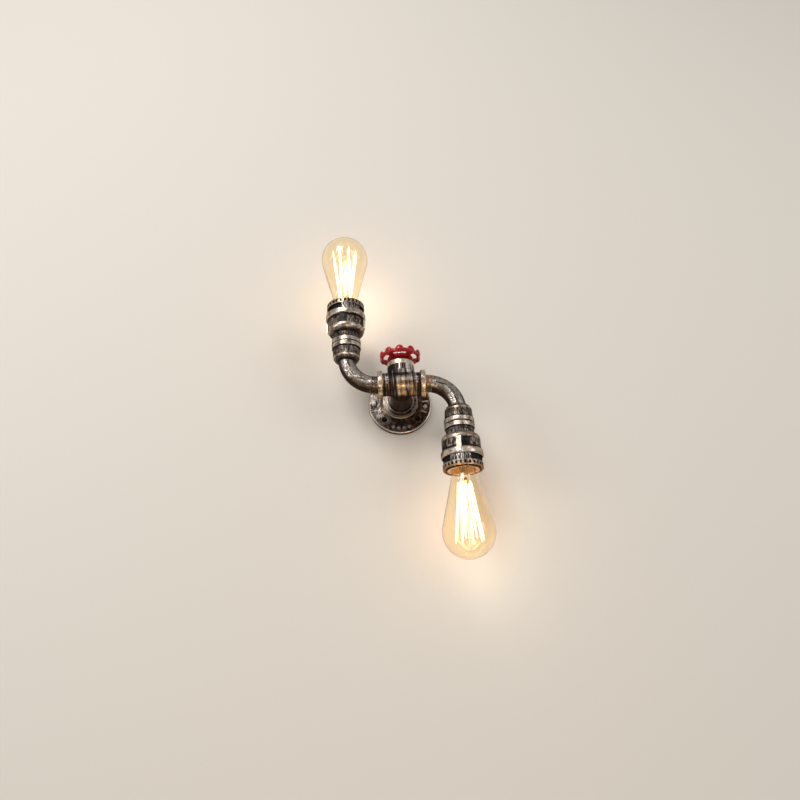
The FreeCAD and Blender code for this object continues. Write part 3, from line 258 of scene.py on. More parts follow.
def arm_axes(finish, arm):
    """Across, deep and along, measured from one arm's own axis."""
    sign = ARMS[arm]
    across, deep, along = finish.split(finish.place)
    return (finish.math("ADD", finish.math("MULTIPLY", across, sign), ARM_OFFSET),
            finish.math("SUBTRACT", deep, AXIS_Y),
            finish.math("MULTIPLY", along, sign))


def distance(finish, first, second):
    """How far a point is from an axis, given its two offsets from it."""
    squares = finish.math("ADD", finish.math("POWER", first, 2), finish.math("POWER", second, 2))
    return finish.math("SQRT", squares)


# %% [markdown]
# ## The antique finish
#
# The castings are lacquered nearly black and then brushed with silver and copper, so that
# bare metal shows on edges and in streaks, and the grooves stay black: they keep their
# lacquer, and painted shade darkens them further. One function lays lacquer and metal over
# each other by a mask from 0 to 1, and each piece works out its own mask. The metal turns
# from silver on top to copper below: a painted reflection of cold light from above and warm
# light from below.

# %% Colours of lacquer and metal
BLACK = (0.010, 0.009, 0.010)
GUNMETAL = (0.024, 0.022, 0.023)
BROWN = (0.024, 0.013, 0.008)
SILVER = (0.78, 0.68, 0.60)
CREAM = (0.90, 0.74, 0.59)
GOLD = (0.80, 0.53, 0.26)
COPPER = (0.50, 0.25, 0.12)
BRONZE = (0.40, 0.28, 0.20)
OUTLINE = (0.30, 0.27, 0.25)
print("metals", SILVER, GOLD, COPPER)


# %% Masks
BROAD_SCALE = 0.28
BROAD_PART = 0.55
SHARE_TO_LEVEL = 0.35


# Places painted light: silver and highlights on faces that look up, and a warm painted reflection
# on faces that look down.
def upward(finish):
    """1 on faces that look up at rest, 0 on those that look down."""
    return finish.step(finish.split(finish.facing)[2], -0.60, 0.50)


def largest(finish, *amounts):
    """The highest of several masks."""
    best = amounts[0]
    for amount in amounts[1:]:
        best = finish.math("MAXIMUM", best, amount)
    return best


def times(finish, *amounts):
    """Several masks multiplied together."""
    product = amounts[0]
    for amount in amounts[1:]:
        product = finish.math("MULTIPLY", product, amount)
    return product


def streaks(finish, vector, broad_waves, fine_waves, share):
    """Brush streaks: broad ones with fine ones inside, `share` of the surface bare."""
    broad = finish.noise(vector, [waves * BROAD_SCALE for waves in broad_waves], detail=4)
    fine = finish.noise(vector, fine_waves, detail=5)
    level = 0.5 + (0.5 - share) * SHARE_TO_LEVEL
    both_kinds = finish.math("ADD", finish.math("MULTIPLY", broad, BROAD_PART),
                             finish.math("MULTIPLY", fine, 1 - BROAD_PART))
    return finish.step(both_kinds, level - 0.035, level + 0.055)


print("masks: upward, largest, times and streaks")


# %% Lacquer over brushed metal
def antique(finish, rubbed, lacquer, metal, wear=0.0005, grooves=0.0022, polish=0.27):
    """Lacquer that is gone where `rubbed` is high and along edges, but not in grooves.

    `wear` is the width of a worn edge and `grooves` the reach of the shade painted into
    grooves, in metres.
    `polish` is the roughness of the bare metal.
    """
    grit = finish.noise(finish.place, 1300, detail=4)
    patch = finish.noise(finish.place, 170, detail=3)
    # Grooves keep their lacquer, and painted shade darkens it there towards black. Both are found
    # by how little of its surroundings a point sees.
    groove_shade = finish.crevices(grooves)
    rim = times(finish, finish.edges(wear), finish.step(patch, 0.30, 0.52, 0.36, 0.80))
    worn = largest(finish, rubbed, rim)
    kept = finish.step(groove_shade, 0, 1, 1.0, 0.03)
    amount = times(finish, worn, kept, finish.step(grit, 0.36, 0.54, 0.45, 1.0))
    dark = finish.mix(groove_shade, lacquer, BLACK)
    finish.set(Base_Color=finish.mix(amount, dark, metal),
               Metallic=finish.step(amount, 0, 1, 0.70, 1.0),
               Roughness=finish.step(amount, 0, 1, 0.40, polish),
               Specular_Tint=OUTLINE)
    finish.bump(grit, 0.00030, 0.6)


print("lacquer from", BLACK, "to", BROWN)

# %% [markdown]
# ## Flange and tube
#
# The flange is the darkest casting. Its rim and the two lips of its hub are rubbed bright,
# and its left half has lost more lacquer than its right. Distance from the middle tells
# rim, plate and hub apart, so no part has to be painted by hand.

# %% Flange
# Radii and depths of the hub's two lips, in metres.
LIP_INSIDE = 0.0176
LIP_OUTSIDE = 0.0224
SECOND_LIP_FRONT = -0.0138
SECOND_LIP_BACK = -0.0127
SECOND_LIP_RADIUS = 0.0230


def flange_finish():
    """A dark casting, rubbed bright on its rim, its two lips and the left of its face."""
    finish = Finish("rubbed_flange")
    across, deep, height = finish.split(finish.place)
    radius = distance(finish, across, height)
    strokes = largest(finish,
                      streaks(finish, finish.place, (420, 420, 120), (520, 520, 150), 0.46),
                      streaks(finish, finish.place, (120, 420, 420), (150, 520, 520), 0.34))
    left = times(finish, finish.step(across, -0.004, -0.026),
                 finish.step(height, -0.036, -0.018))
    mottle = finish.noise(finish.place, 230, detail=6)
    elsewhere = finish.step(mottle, 0.46, 0.62, 0.02, 0.42)
    mottle_bright = finish.step(mottle, 0.52, 0.64, 0.10, 0.6)
    front_edge = finish.step(deep, FLANGE_FACE + 0.0022, FLANGE_FACE + 0.0010)
    rim = times(finish, finish.step(radius, FLANGE_RADIUS - 0.0026, FLANGE_RADIUS - 0.0012),
                front_edge)
    first_lip = times(finish, finish.step(deep, HUB_FACE + 0.0009, HUB_FACE + 0.0005),
                      largest(finish, finish.step(radius, LIP_INSIDE + 0.0005, LIP_INSIDE),
                              finish.step(radius, LIP_OUTSIDE - 0.0004, LIP_OUTSIDE),
                              mottle_bright))
    second_lip = times(finish, finish.step(deep, SECOND_LIP_BACK + 0.0006, SECOND_LIP_BACK),
                       finish.step(deep, SECOND_LIP_FRONT - 0.0006, SECOND_LIP_FRONT),
                       finish.step(radius, SECOND_LIP_RADIUS - 0.0004, SECOND_LIP_RADIUS))
    lips = largest(finish, first_lip, second_lip)
    # Painted highlight: bare metal on the left of the hub's cone, where the light falls.
    cone_highlight = times(finish, finish.step(deep, FLANGE_FACE - 0.0005, FLANGE_FACE - 0.0015),
                 finish.step(across, -0.012, -0.019, 0, 0.9))
    rubbed = largest(finish, times(finish, strokes, left), elsewhere, rim, lips, cone_highlight)
    rust = finish.mix(finish.step(mottle, 0.40, 0.58), COPPER, BRONZE)
    plate = finish.mix(largest(finish, left, rim), rust, SILVER)
    # Painted reflection: the hub's metal turns from silver above to copper below.
    warm = finish.mix(finish.step(height, -0.012, -0.020), SILVER, COPPER)
    metal = finish.mix(finish.step(deep, -0.0120, -0.0160), plate, warm)
    metal = finish.mix(lips, metal, CREAM)
    lacquer = finish.mix(finish.step(across, -0.02, 0.03), GUNMETAL, BROWN)
    antique(finish, rubbed, lacquer, metal, wear=0.0007)
    return finish


flange_finish().put_on("wall_flange")
print("flange face", FLANGE_FACE, "hub face", round(HUB_FACE, 4))


# %% Rear tube
def tube_finish():
    """The tube behind the tee has kept its dark brown lacquer, with faint streaks."""
    finish = Finish("dark_tube_lacquer")
    streak = finish.noise(finish.place, (420, 30, 420), detail=3)
    color = finish.mix(finish.step(streak, 0.42, 0.66), (0.014, 0.010, 0.009),
                       (0.075, 0.032, 0.016))
    finish.set(Base_Color=color, Metallic=0.5, Roughness=finish.step(streak, 0.3, 0.7, 0.28, 0.45))
    finish.bump(streak, 0.0002, 0.3)
    return finish


tube_finish().put_on("rear_tube")
print("tube lacquered, materials so far", len(bpy.data.materials))

# %% [markdown]
# ## Tee and bonnet ring
#
# A file or a brush run round the tee leaves streaks that are narrow along the pipe and
# long around it. Noise stretched in that one direction gives them: many waves along the
# pipe, few around it. The neck above is brushed the other way, from top to bottom.

# %% Tee
# Height of the neck's foot, start of the end parts and length of a collar, in metres.
NECK_FOOT = 0.0125
END_PARTS = 0.0135
COLLAR_LENGTH = 0.0060


def tee_finish():
    """Streaks round the run and down the neck; silver above and gold below, a painted
    reflection.
    """
    finish = Finish("brushed_tee")
    across, deep, height = finish.split(finish.place)
    up = upward(finish)
    on_neck = finish.step(height, NECK_FOOT, NECK_FOOT + 0.0040)
    round_run = times(finish, streaks(finish, finish.place, (330, 18, 18), (560, 26, 26), 0.50),
                      finish.step(on_neck, 0, 1, 1, 0))
    down_neck = times(finish, streaks(finish, finish.place, (330, 330, 18), (520, 520, 26), 0.44),
                      on_neck)
    end_parts = finish.step(finish.math("ABSOLUTE", across), END_PARTS - 0.0020, END_PARTS,
                            1.0, 0.60)
    scratch = finish.noise(finish.place, (620, 20, 20), detail=2)
    cuts = finish.step(scratch, 0.50, 0.57, 1.0, 0.05)
    collar = finish.step(finish.math("ABSOLUTE", across),
                         RUN_HALF - COLLAR_LENGTH - 0.0006, RUN_HALF - COLLAR_LENGTH)
    worn_collar = finish.noise(finish.place, (90, 190, 190), detail=5)
    collar_rub = times(finish, collar, finish.step(worn_collar, 0.36, 0.52, 0.35, 0.95))
    from_run = distance(finish, finish.math("SUBTRACT", deep, AXIS_Y), height)
    branch = times(finish, finish.step(from_run, RUN_RADIUS + 0.0001, RUN_RADIUS + 0.0004),
                   finish.step(height, 0.0110, 0.0090))
    brushed = largest(finish, times(finish, round_run, end_parts, cuts), down_neck)
    body_rub = times(finish, brushed, finish.step(branch, 0, 1, 0.95, 0.05))
    rubbed = largest(finish, body_rub, collar_rub)
    gilding = finish.noise(finish.place, (260, 30, 30), detail=4)
    gilded = finish.mix(finish.step(gilding, 0.46, 0.58), GOLD, CREAM)
    # Painted reflection: the metal is copper and gold below and silver and cream above, and the
    # lacquer is browner on faces that look down.
    below = finish.mix(finish.step(worn_collar, 0.34, 0.50), COPPER, gilded)
    above = finish.mix(collar, SILVER, CREAM)
    metal = finish.mix(finish.step(height, -0.0030, 0.0045), below, above)
    antique(finish, rubbed, finish.mix(up, BROWN, GUNMETAL), metal)
    return finish


tee_finish().put_on("tee_body")
print("run half length", round(RUN_HALF, 4))


# %% Bonnet ring
def bonnet_finish():
    """The ring under the wheel is the brightest metal: pale bronze, lightly brushed."""
    finish = Finish("champagne_bronze")
    turned = finish.noise(finish.place, (40, 40, 900), detail=3)
    cloud = finish.noise(finish.place, 160, detail=3)
    color = finish.mix(finish.step(cloud, 0.35, 0.65), (0.54, 0.45, 0.35), (0.76, 0.66, 0.54))
    # Painted shade: darker where little of the surroundings is seen.
    color = finish.mix(finish.crevices(0.0015), color, (0.16, 0.10, 0.06))
    finish.set(Base_Color=color, Metallic=1.0, Roughness=finish.step(turned, 0.3, 0.7, 0.30, 0.46))
    finish.bump(turned, 0.0001, 0.4)
    return finish


bonnet_finish().put_on("bonnet_cap")
print("ring brushed, materials so far", len(bpy.data.materials))

# %% [markdown]
# ## Elbows
#
# Each elbow is brushed along its length. Noise stretched along one straight axis would cut
# across the bend, so the noise is laid out in the pipe's own measures: the distance from
# the bend's centre, the depth, and the way round the bend.

# %% Elbows
# The stretch that the coupling's mouth shades, by its distance out along the arm.
MOUTH_SHADE = (0.0315, 0.0345)


def elbow_finish(arm):
    """Silver streaks that follow the bend, with a painted highlight on top and on the side
    towards the room.
    """
    finish = Finish(f"{arm}_elbow_gunmetal")
    across, deep, along = arm_axes(finish, arm)
    side = finish.math("SUBTRACT", across, BEND_RADIUS)
    rise = finish.math("SUBTRACT", along, BEND_RADIUS)
    ring = distance(finish, side, rise)
    turn = finish.math("MULTIPLY", finish.math("ARCTAN2", rise, side), BEND_RADIUS)
    brushed = finish.join(ring, deep, turn)
    up = upward(finish)
    # Painted highlight: more bare metal on top and on the side that faces the room.
    room_side_highlight = finish.step(finish.split(finish.facing)[1], -0.52, -0.95, 0.04, 1.0)
    bright = largest(finish, finish.step(up, 0.60, 1.0, 0, 0.28), room_side_highlight)
    silver = times(finish, streaks(finish, brushed, (330, 330, 50), (520, 520, 80), 0.76), bright)
    cross = finish.step(finish.noise(brushed, 300, detail=5), 0.42, 0.55, 0.32, 1.0)
    # Painted shade under the coupling's mouth: less bare metal there.
    under_mouth = finish.step(along, *MOUTH_SHADE, 1.0, 0.08)
    cloud = finish.noise(finish.place, 120, detail=4)
    # Painted reflection: bronze below and silver above, and the lacquer browner below.
    painted_reflection_tone = finish.mix(finish.step(up, 0.02, 0.30), BRONZE, SILVER)
    metal = finish.mix(finish.step(cloud, 0.50, 0.68, 0, 0.6), painted_reflection_tone, CREAM)
    lacquer = finish.mix(finish.step(up, 0.1, 0.6), BROWN, GUNMETAL)
    antique(finish, times(finish, silver, cross, under_mouth), lacquer, metal, grooves=0.0012,
            polish=0.20)
    return finish


for arm in ARMS:
    elbow_finish(arm).put_on(f"{arm}_elbow")
print("elbows brushed along a bend of", BEND_RADIUS)

# %% [markdown]
# ## Couplings
#
# A coupling is turned on a lathe: a flared mouth, two bands with grooves, and a taper. The
# rings that stand out are rubbed bright, and what lies deeper stays black. A painted map
# could say which is which, but a point's radius and its distance out along the arm say it
# too, and stay sharp however near the camera comes.

# %% Couplings
# The radius of the rings, then the other parts by their distance out along the arm.
RING_EDGE = 0.0188
BAND_END = 0.0515
MOUTH_LIP = (0.0384, 0.0398)
TAPER_START = 0.0662


def coupling_finish(arm):
    """Rings and mouth rubbed bright, band and taper nearly black."""
    finish = Finish(f"{arm}_coupling_bronze")
    across, deep, along = arm_axes(finish, arm)
    radius = distance(finish, across, deep)
    brushed = finish.join(across, deep, along)
    speckle = finish.noise(brushed, (900, 900, 150), detail=4)
    fleck = finish.step(speckle, 0.44, 0.60)
    rings = times(finish, finish.step(radius, RING_EDGE - 0.0005, RING_EDGE),
                  finish.step(speckle, 0.36, 0.50, 0.40, 0.95))
    band = times(finish, finish.step(along, BAND_END - 0.0010, BAND_END, 1.0, 0.0), fleck, 0.40)
    mouth = times(finish, finish.step(along, MOUTH_LIP[1] + 0.0014, MOUTH_LIP[1], 0.0, 0.90),
                  finish.step(along, MOUTH_LIP[0] - 0.0010, MOUTH_LIP[0], 0.05, 1.0),
                  finish.step(speckle, 0.34, 0.48, 0.55, 1.0))
    taper = times(finish, finish.step(along, TAPER_START - 0.0005, TAPER_START), fleck, 0.40)
    rubbed = largest(finish, rings, band, mouth, taper)
    cloud = finish.noise(finish.place, 150, detail=4)
    warm = finish.mix(finish.step(cloud, 0.38, 0.58), BRONZE, CREAM)
    pale = finish.mix(finish.step(cloud, 0.42, 0.56), warm, SILVER)
    metal = finish.mix(finish.step(along, 0.0500, 0.0560), warm, pale)
    lacquer = finish.mix(finish.step(cloud, 0.35, 0.6), BLACK, GUNMETAL)
    antique(finish, rubbed, lacquer, metal)
    return finish


for arm in ARMS:
    coupling_finish(arm).put_on(f"{arm}_coupling")

# %% [markdown]
# ## Housings and clamp rings
#
# The shell round each lampholder has a shoulder, ribs, a bead and three pads, and a ring
# with slots all round sits in its mouth. The housing is marked out like the coupling. The
# slots are too many to place one by one, so they are found by shade: a point that sees
# little of its surroundings lies in a slot, and stays black.

# %% Housings
# The parts by their distance out along the arm, and the radius of ribs and teeth.
FOOT_END = 0.0765
SHOULDER_END = 0.0805
BODY_END = 0.0915
RIBS_END = 0.0945
PADS_START = 0.1037
RIB_RADIUS = 0.0246
LIP_START = 0.1168


def housing_finish(arm):
    """Shoulder, ribs and bead rubbed bright, the recesses between them black."""
    finish = Finish(f"{arm}_housing_bronze")
    across, deep, along = arm_axes(finish, arm)
    radius = distance(finish, across, deep)
    brushed = finish.join(across, deep, along)
    speckle = finish.noise(brushed, (900, 900, 150), detail=4)
    fleck = finish.step(speckle, 0.46, 0.60)
    broad = finish.step(speckle, 0.34, 0.48, 0.45, 1.0)
    foot = times(finish, finish.step(along, FOOT_END + 0.0015, FOOT_END), fleck, 0.5)
    shoulder = times(finish, finish.step(along, SHOULDER_END + 0.0020, SHOULDER_END),
                     finish.step(radius, 0.0200, 0.0232, 0.0, 0.90), broad)
    body = times(finish, finish.step(along, BODY_END + 0.0010, BODY_END),
                 streaks(finish, brushed, (330, 330, 90), (560, 560, 140), 0.50),
                 finish.step(speckle, 0.42, 0.58, 0.1, 0.7))
    ribs = times(finish, finish.step(along, RIBS_END + 0.0010, RIBS_END),
                 finish.step(radius, RIB_RADIUS, RIB_RADIUS + 0.0004, 0, 0.9), broad)
    bead = times(finish, finish.step(radius, RIB_RADIUS, RIB_RADIUS + 0.0008, 0, 0.92), broad)
    pads = times(finish, finish.step(along, PADS_START - 0.0003, PADS_START),
                 finish.step(radius, 0.0234, 0.0240), fleck, 0.8)
    rubbed = largest(finish, foot, shoulder, body, ribs, bead, pads)
    cloud = finish.noise(finish.place, 150, detail=4)
    metal = finish.mix(finish.step(cloud, 0.38, 0.56), BRONZE, CREAM)
    metal = finish.mix(finish.step(along, 0.098, 0.105), metal, SILVER)
    lacquer = finish.mix(finish.step(cloud, 0.35, 0.62), BLACK, GUNMETAL)
    antique(finish, rubbed, lacquer, metal)
    return finish


for arm in ARMS:
    housing_finish(arm).put_on(f"{arm}_socket_housing")
print("ribs beyond a radius of", RIB_RADIUS)


# %% Clamp rings
def clamp_finish(arm):
    """Bright teeth, black slots: the slots are found by how little light gets in."""
    finish = Finish(f"{arm}_clamp_copper")
    across, deep, along = arm_axes(finish, arm)
    radius = distance(finish, across, deep)
    cloud = finish.noise(finish.place, 260, detail=4)
    teeth = times(finish, finish.step(radius, RIB_RADIUS - 0.0004, RIB_RADIUS),
                  finish.step(cloud, 0.38, 0.58, 0.20, 0.75))
    lip = finish.step(along, LIP_START - 0.0008, LIP_START, 0, 0.9)
    metal = finish.mix(finish.step(along, LIP_START - 0.0018, LIP_START), CREAM,
                       finish.mix(cloud, COPPER, GOLD))
    antique(finish, largest(finish, teeth, lip), BLACK, metal, grooves=0.0014)
    return finish


for arm in ARMS:
    clamp_finish(arm).put_on(f"{arm}_clamp_ring")
print("clamp rings' lips from", LIP_START)

# %% [markdown]
# ## Lampholder, screws and bulb parts
#
# These are plain, clean materials: unglazed ceramic, brass, zinc-plated steel, black
# moulding. Each still gets a little variation in gloss, because a perfectly even surface
# is what gives a computer picture away.

# %% Plain materials
GRIT_DEPTH = 0.00008


def plain_finish(name, color, metallic, roughness):
    """An even material, a little darker in spots and glossier or duller by a fifth."""
    finish = Finish(name)
    grit = finish.noise(finish.place, 700, detail=4)
    shade = tuple(channel * 0.80 for channel in color)
    finish.set(Base_Color=finish.mix(finish.step(grit, 0.35, 0.65), shade, color),
               Metallic=metallic,
               Roughness=finish.step(grit, 0.3, 0.7, roughness * 0.8, roughness * 1.2))
    finish.bump(grit, GRIT_DEPTH, 0.5)
    return finish


def both(*names):
    """These pieces of both arms."""
    return [f"{arm}_{name}" for arm in ARMS for name in names]


zinc = plain_finish("zinc_plate", (0.62, 0.61, 0.58), 1.0, 0.32)
zinc.put_on("switch_nut", "wheel_spindle", "wheel_washer", "wheel_nut", "hub_set_screw",
            *both("holder_nipple", "lock_nut"))
plain_finish("black_moulding", (0.030, 0.030, 0.032), 0.0, 0.45).put_on("switch_body")
# The ceramic's orange tint is partly its own colour and partly a painted glow of the bulb's warm
# light.
ceramic = plain_finish("ceramic_painted_glow", (0.86, 0.60, 0.38), 0.0, 0.38)
ceramic.put_on(*both("holder_insert"))
brass = plain_finish("contact_brass", (0.78, 0.58, 0.28), 1.0, 0.30)
brass.put_on(*both("terminal_screws", "screw_shell", "centre_contact"))
plain_finish("black_glass", (0.020, 0.020, 0.022), 0.0, 0.12).put_on(*both("cap_insulator"))
plain_finish("solder", (0.55, 0.55, 0.56), 1.0, 0.35).put_on(*both("foot_contact"))
hook_steel = plain_finish("hook_wire", (0.45, 0.42, 0.38), 1.0, 0.35)
hook_steel.put_on(*both("support_wires"))
print("plain materials done")

# %% [markdown]
# ## Bulb glass
#
# Real glass walls have two sides, and light bends at both, so the envelope is a thin
# closed shell and not a single sheet. Its outline is a round crown, a straight flank that
# touches it, and a neck, so a few sizes give the whole curve, and turning it about the
# arm's axis gives the shell. Glass in Blender blocks the light of lamps behind it unless
# it is told to cast no shadow, so that is switched off.

# %% Clear glass
AMBER = (1.0, 0.925, 0.77)
AMBER_EDGE = (0.76, 0.53, 0.28)


def glass_finish(name, color, edge_color, roughness):
    """Clear glass whose colour deepens towards its outline, where light crosses more of it."""
    finish = Finish(name)
    slant = finish.add("ShaderNodeLayerWeight")
    slant.inputs["Blend"].default_value = 0.35
    deepened = finish.mix(finish.step(slant.outputs["Facing"], 0.45, 1.0), color, edge_color)
    ripple = finish.noise(finish.place, (60, 60, 25), detail=2)
    finish.set(Base_Color=deepened, Roughness=roughness, IOR=1.47, Transmission_Weight=1.0)
    finish.bump(ripple, 0.0004, 0.2)
    return finish


amber = glass_finish("amber_glass", AMBER, AMBER_EDGE, 0.0)
print("amber glass", AMBER, "deepening to", AMBER_EDGE)

# %% The envelope's outline
# Radii and heights in metres, and the points along the crown and along the knee.
CROWN_RADIUS = 0.03198
NECK_RADIUS = 0.0136
NECK_END = 0.118
TUCK_RADIUS = 0.01265
SEAT_HEIGHT = 0.11005
CROWN_STEPS = 40
KNEE_STEPS = 10
KNEE_START = 0.72


def envelope_line(tip, end, inset):
    """Points of the half outline from the crown down to the tucked-in edge.

    `tip` and `end` are the heights of both ends. The flank is the line that touches both
    the crown's circle and the neck, and the knee between flank and neck is eased.
    """
    crown = CROWN_RADIUS - inset
    neck = NECK_RADIUS - inset
    middle = tip - CROWN_RADIUS
    reach = math.hypot(neck, middle - NECK_END)
    lean = math.asin(crown / reach) - math.asin(neck / reach)
    points = []
    for step in range(CROWN_STEPS + 1):
        angle = math.pi / 2 - step / CROWN_STEPS * (math.pi / 2 + lean)
        points.append((crown * math.cos(angle), middle + crown * math.sin(angle)))
    touch = Vector(points[-1])
    knee = Vector((neck, NECK_END))
    foot = Vector((neck, SEAT_HEIGHT))
    for step in range(KNEE_STEPS + 1):
        share = step / KNEE_STEPS
        above = touch.lerp(knee, KNEE_START + (1 - KNEE_START) * share)
        below = knee.lerp(foot, share)
        points.append(tuple(above.lerp(below, share * share * (3 - 2 * share))))
    seat = SEAT_HEIGHT + inset
    points += [(neck, seat), (TUCK_RADIUS - inset, seat), (TUCK_RADIUS - inset, end)]
    return points


print("outline drawn with", CROWN_STEPS + KNEE_STEPS + 5, "points")

# %% Pieces turned about an axis
ROUND_STEPS = 96
ON_AXIS = 1e-6


def add_piece(name, mesh, finish, body):
    """A mesh as a piece of its own, with its finish, riding on a body."""
    mesh.materials.append(finish.material)
    piece = into_scene(name, mesh)
    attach(piece, body)
    return piece


def turned(name, outline, centre, sign, finish, body):
    """A mesh turned about an upright axis from (radius, height) points."""
    mesh = bpy.data.meshes.new(name)
    work = bmesh.new()
    rings = []
    for radius, height in outline:
        if radius < ON_AXIS:
            rings.append([work.verts.new((centre.x, centre.y, sign * height))])
            continue
        ring = []
        for step in range(ROUND_STEPS):
            angle = 2 * math.pi * step / ROUND_STEPS
            ring.append(work.verts.new((centre.x + radius * math.cos(angle),
                                        centre.y + radius * math.sin(angle), sign * height)))
        rings.append(ring)
    for first, second in zip(rings, rings[1:]):
        for step in range(ROUND_STEPS):
            after = (step + 1) % ROUND_STEPS
            corners = [first[step % len(first)], first[after % len(first)],
                       second[after % len(second)], second[step % len(second)]]
            face = list(dict.fromkeys(corners))
            if len(face) > 2:
                work.faces.new(face)
    bmesh.ops.recalc_face_normals(work, faces=work.faces)
    work.to_mesh(mesh)
    work.free()
    mesh.shade_smooth()
    return add_piece(name, mesh, finish, body)


print("rings of", ROUND_STEPS, "corners")

# %% Both envelopes
GLASS_WALL = 0.0009


def arm_centre(arm):
    """The point of an arm's own axis that is level with the tee."""
    return Vector((-ARMS[arm] * ARM_OFFSET, AXIS_Y, 0))


for arm, sign in ARMS.items():
    heights = sorted(abs(corner.z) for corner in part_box(f"{arm}_bulb_glass"))
    outside = envelope_line(heights[1], heights[0], 0.0)
    inside = envelope_line(heights[1], heights[0], GLASS_WALL)
    glass = turned(f"{arm}_envelope", outside + inside[::-1], arm_centre(arm), sign, amber,
                   f"{arm}_bulb")
    glass.visible_shadow = False
    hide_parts(f"{arm}_bulb_glass")
    print(glass.name, "tip", round(heights[1], 4))

# %% [markdown]
# ## Stem and glowing wire
#
# A clear glass stem holds the wire, and the wire gives off the light. A wire bright enough
# to look white would flood a wall this close with orange, and a dim one would look like
# painted metal. A photograph shows the white wire and only a soft glow round it. So the
# wire has two strengths, and Light Path tells which one a ray of light should find.

# %% Stem and glowing wire
clear = glass_finish("clear_glass", (0.97, 0.97, 0.95), (0.80, 0.78, 0.72), 0.03)
clear.put_on(*both("glass_stem"))
GLOW_LIGHT = 8.0
GLOW_SEEN = 150.0
glow = Finish("glowing_wire")
glow.set(Base_Color=(1.0, 0.6, 0.3), Roughness=0.6)
glow.set(Emission_Color=(1.0, 0.56, 0.22), Emission_Strength=glow.by_eye(GLOW_LIGHT, GLOW_SEEN))
for name in both("glass_stem"):
    nodes[name].visible_shadow = False  # the wire's light passes
plain_finish("cap_brass", (0.70, 0.60, 0.42), 1.0, 0.28).put_on(*both("bulb_cap"))
print("the wire glows")

# %% [markdown]
# ## Handwheel
#
# The wheel is a sand casting: no edge on it is sharp, and the lobes melt into the rim. The
# solid has crisp meeting lines, so a copy is rebuilt from small cubes and then relaxed,
# which rounds every edge at once. Bevels could do it too, but they struggle where eleven
# curved shapes meet.

# %% Red paint
def paint_finish():
    """Glossy deep red paint over a casting, with a faint orange-peel surface."""
    finish = Finish("red_enamel")
    peel = finish.noise(finish.place, 330, detail=2)
    cloud = finish.noise(finish.place, 90, detail=3)
    color = finish.mix(finish.step(cloud, 0.35, 0.65), (0.30, 0.002, 0.004), (0.44, 0.004, 0.006))
    # Painted shade: deep maroon in the recesses.
    color = finish.mix(finish.crevices(0.004), color, (0.07, 0.001, 0.005))
    finish.set(Base_Color=color, Roughness=0.32, Specular_Tint=(1.0, 0.35, 0.35),
               Coat_Weight=0.45, Coat_Roughness=0.12)
    finish.bump(peel, 0.0004, 0.25)
    return finish


enamel = paint_finish()
print("paint mixed, materials so far", len(bpy.data.materials))

# %% Handwheel
WHEEL_CUBES = 0.00045
RELAX_ROUNDS = 14


def melted(name, source, finish, body):
    """A copy of a solid with its edges melted round, standing in its place."""
    copy = into_scene(name, nodes[source].data.copy())
    cubes = copy.modifiers.new("cubes", "REMESH")
    cubes.mode = "VOXEL"
    cubes.voxel_size = WHEEL_CUBES
    relax = copy.modifiers.new("relax", "SMOOTH")
    relax.factor = 0.5
    relax.iterations = RELAX_ROUNDS
    bpy.context.view_layer.update()
    graph = bpy.context.evaluated_depsgraph_get()
    mesh = bpy.data.meshes.new_from_object(copy.evaluated_get(graph))
    copy.modifiers.clear()
    copy.data = mesh
    mesh.name = name
    mesh.materials.clear()
    mesh.materials.append(finish.material)
    mesh.shade_smooth()
    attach(copy, body)
    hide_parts(source)
    return copy


wheel = melted("cast_handwheel", "handwheel", enamel, "wheel")
print("wheel faces", len(wheel.data.polygons))

# %% [markdown]
# ## Pipe threads beside the tee
#
# A few turns of pipe thread show between each collar and its elbow. A thread is one ridge
# wound round and round. It starts on the straight end of the elbow and runs into the bend,
# so each point is placed by its distance along the pipe and its turn about it.

# %% Places round an elbow
def elbow_place(arm, distance_out, angle, radius):
    """A point about the elbow's centre line, so far out from the tee's collar."""
    straight = ARM_OFFSET - BEND_RADIUS - RUN_HALF
    bend = max(0.0, distance_out - straight) / BEND_RADIUS
    outward = Vector((-math.sin(bend), 0, -math.cos(bend)))
    centre = Vector((-(RUN_HALF + min(distance_out, straight)), AXIS_Y, BEND_RADIUS))
    point = (centre + BEND_RADIUS * outward
             + radius * (math.cos(angle) * outward + math.sin(angle) * Vector((0, 1, 0))))
    return Vector((ARMS[arm] * point.x, point.y, ARMS[arm] * point.z))


print("straight end of the elbow", round(ARM_OFFSET - BEND_RADIUS - RUN_HALF, 4))

# %% The ridge of a thread
# Lengths in metres. Foot and crest are half widths, as shares of the pitch.
THREAD_PITCH = 0.001814
THREAD_TURNS = 4.7
THREAD_HEIGHT = 0.0007
THREAD_START = 0.0006
THREAD_SINK = 0.0002
THREAD_FOOT = 0.42
THREAD_CREST = 0.08
TURN_STEPS = 48
PIPE_RADIUS = 0.011


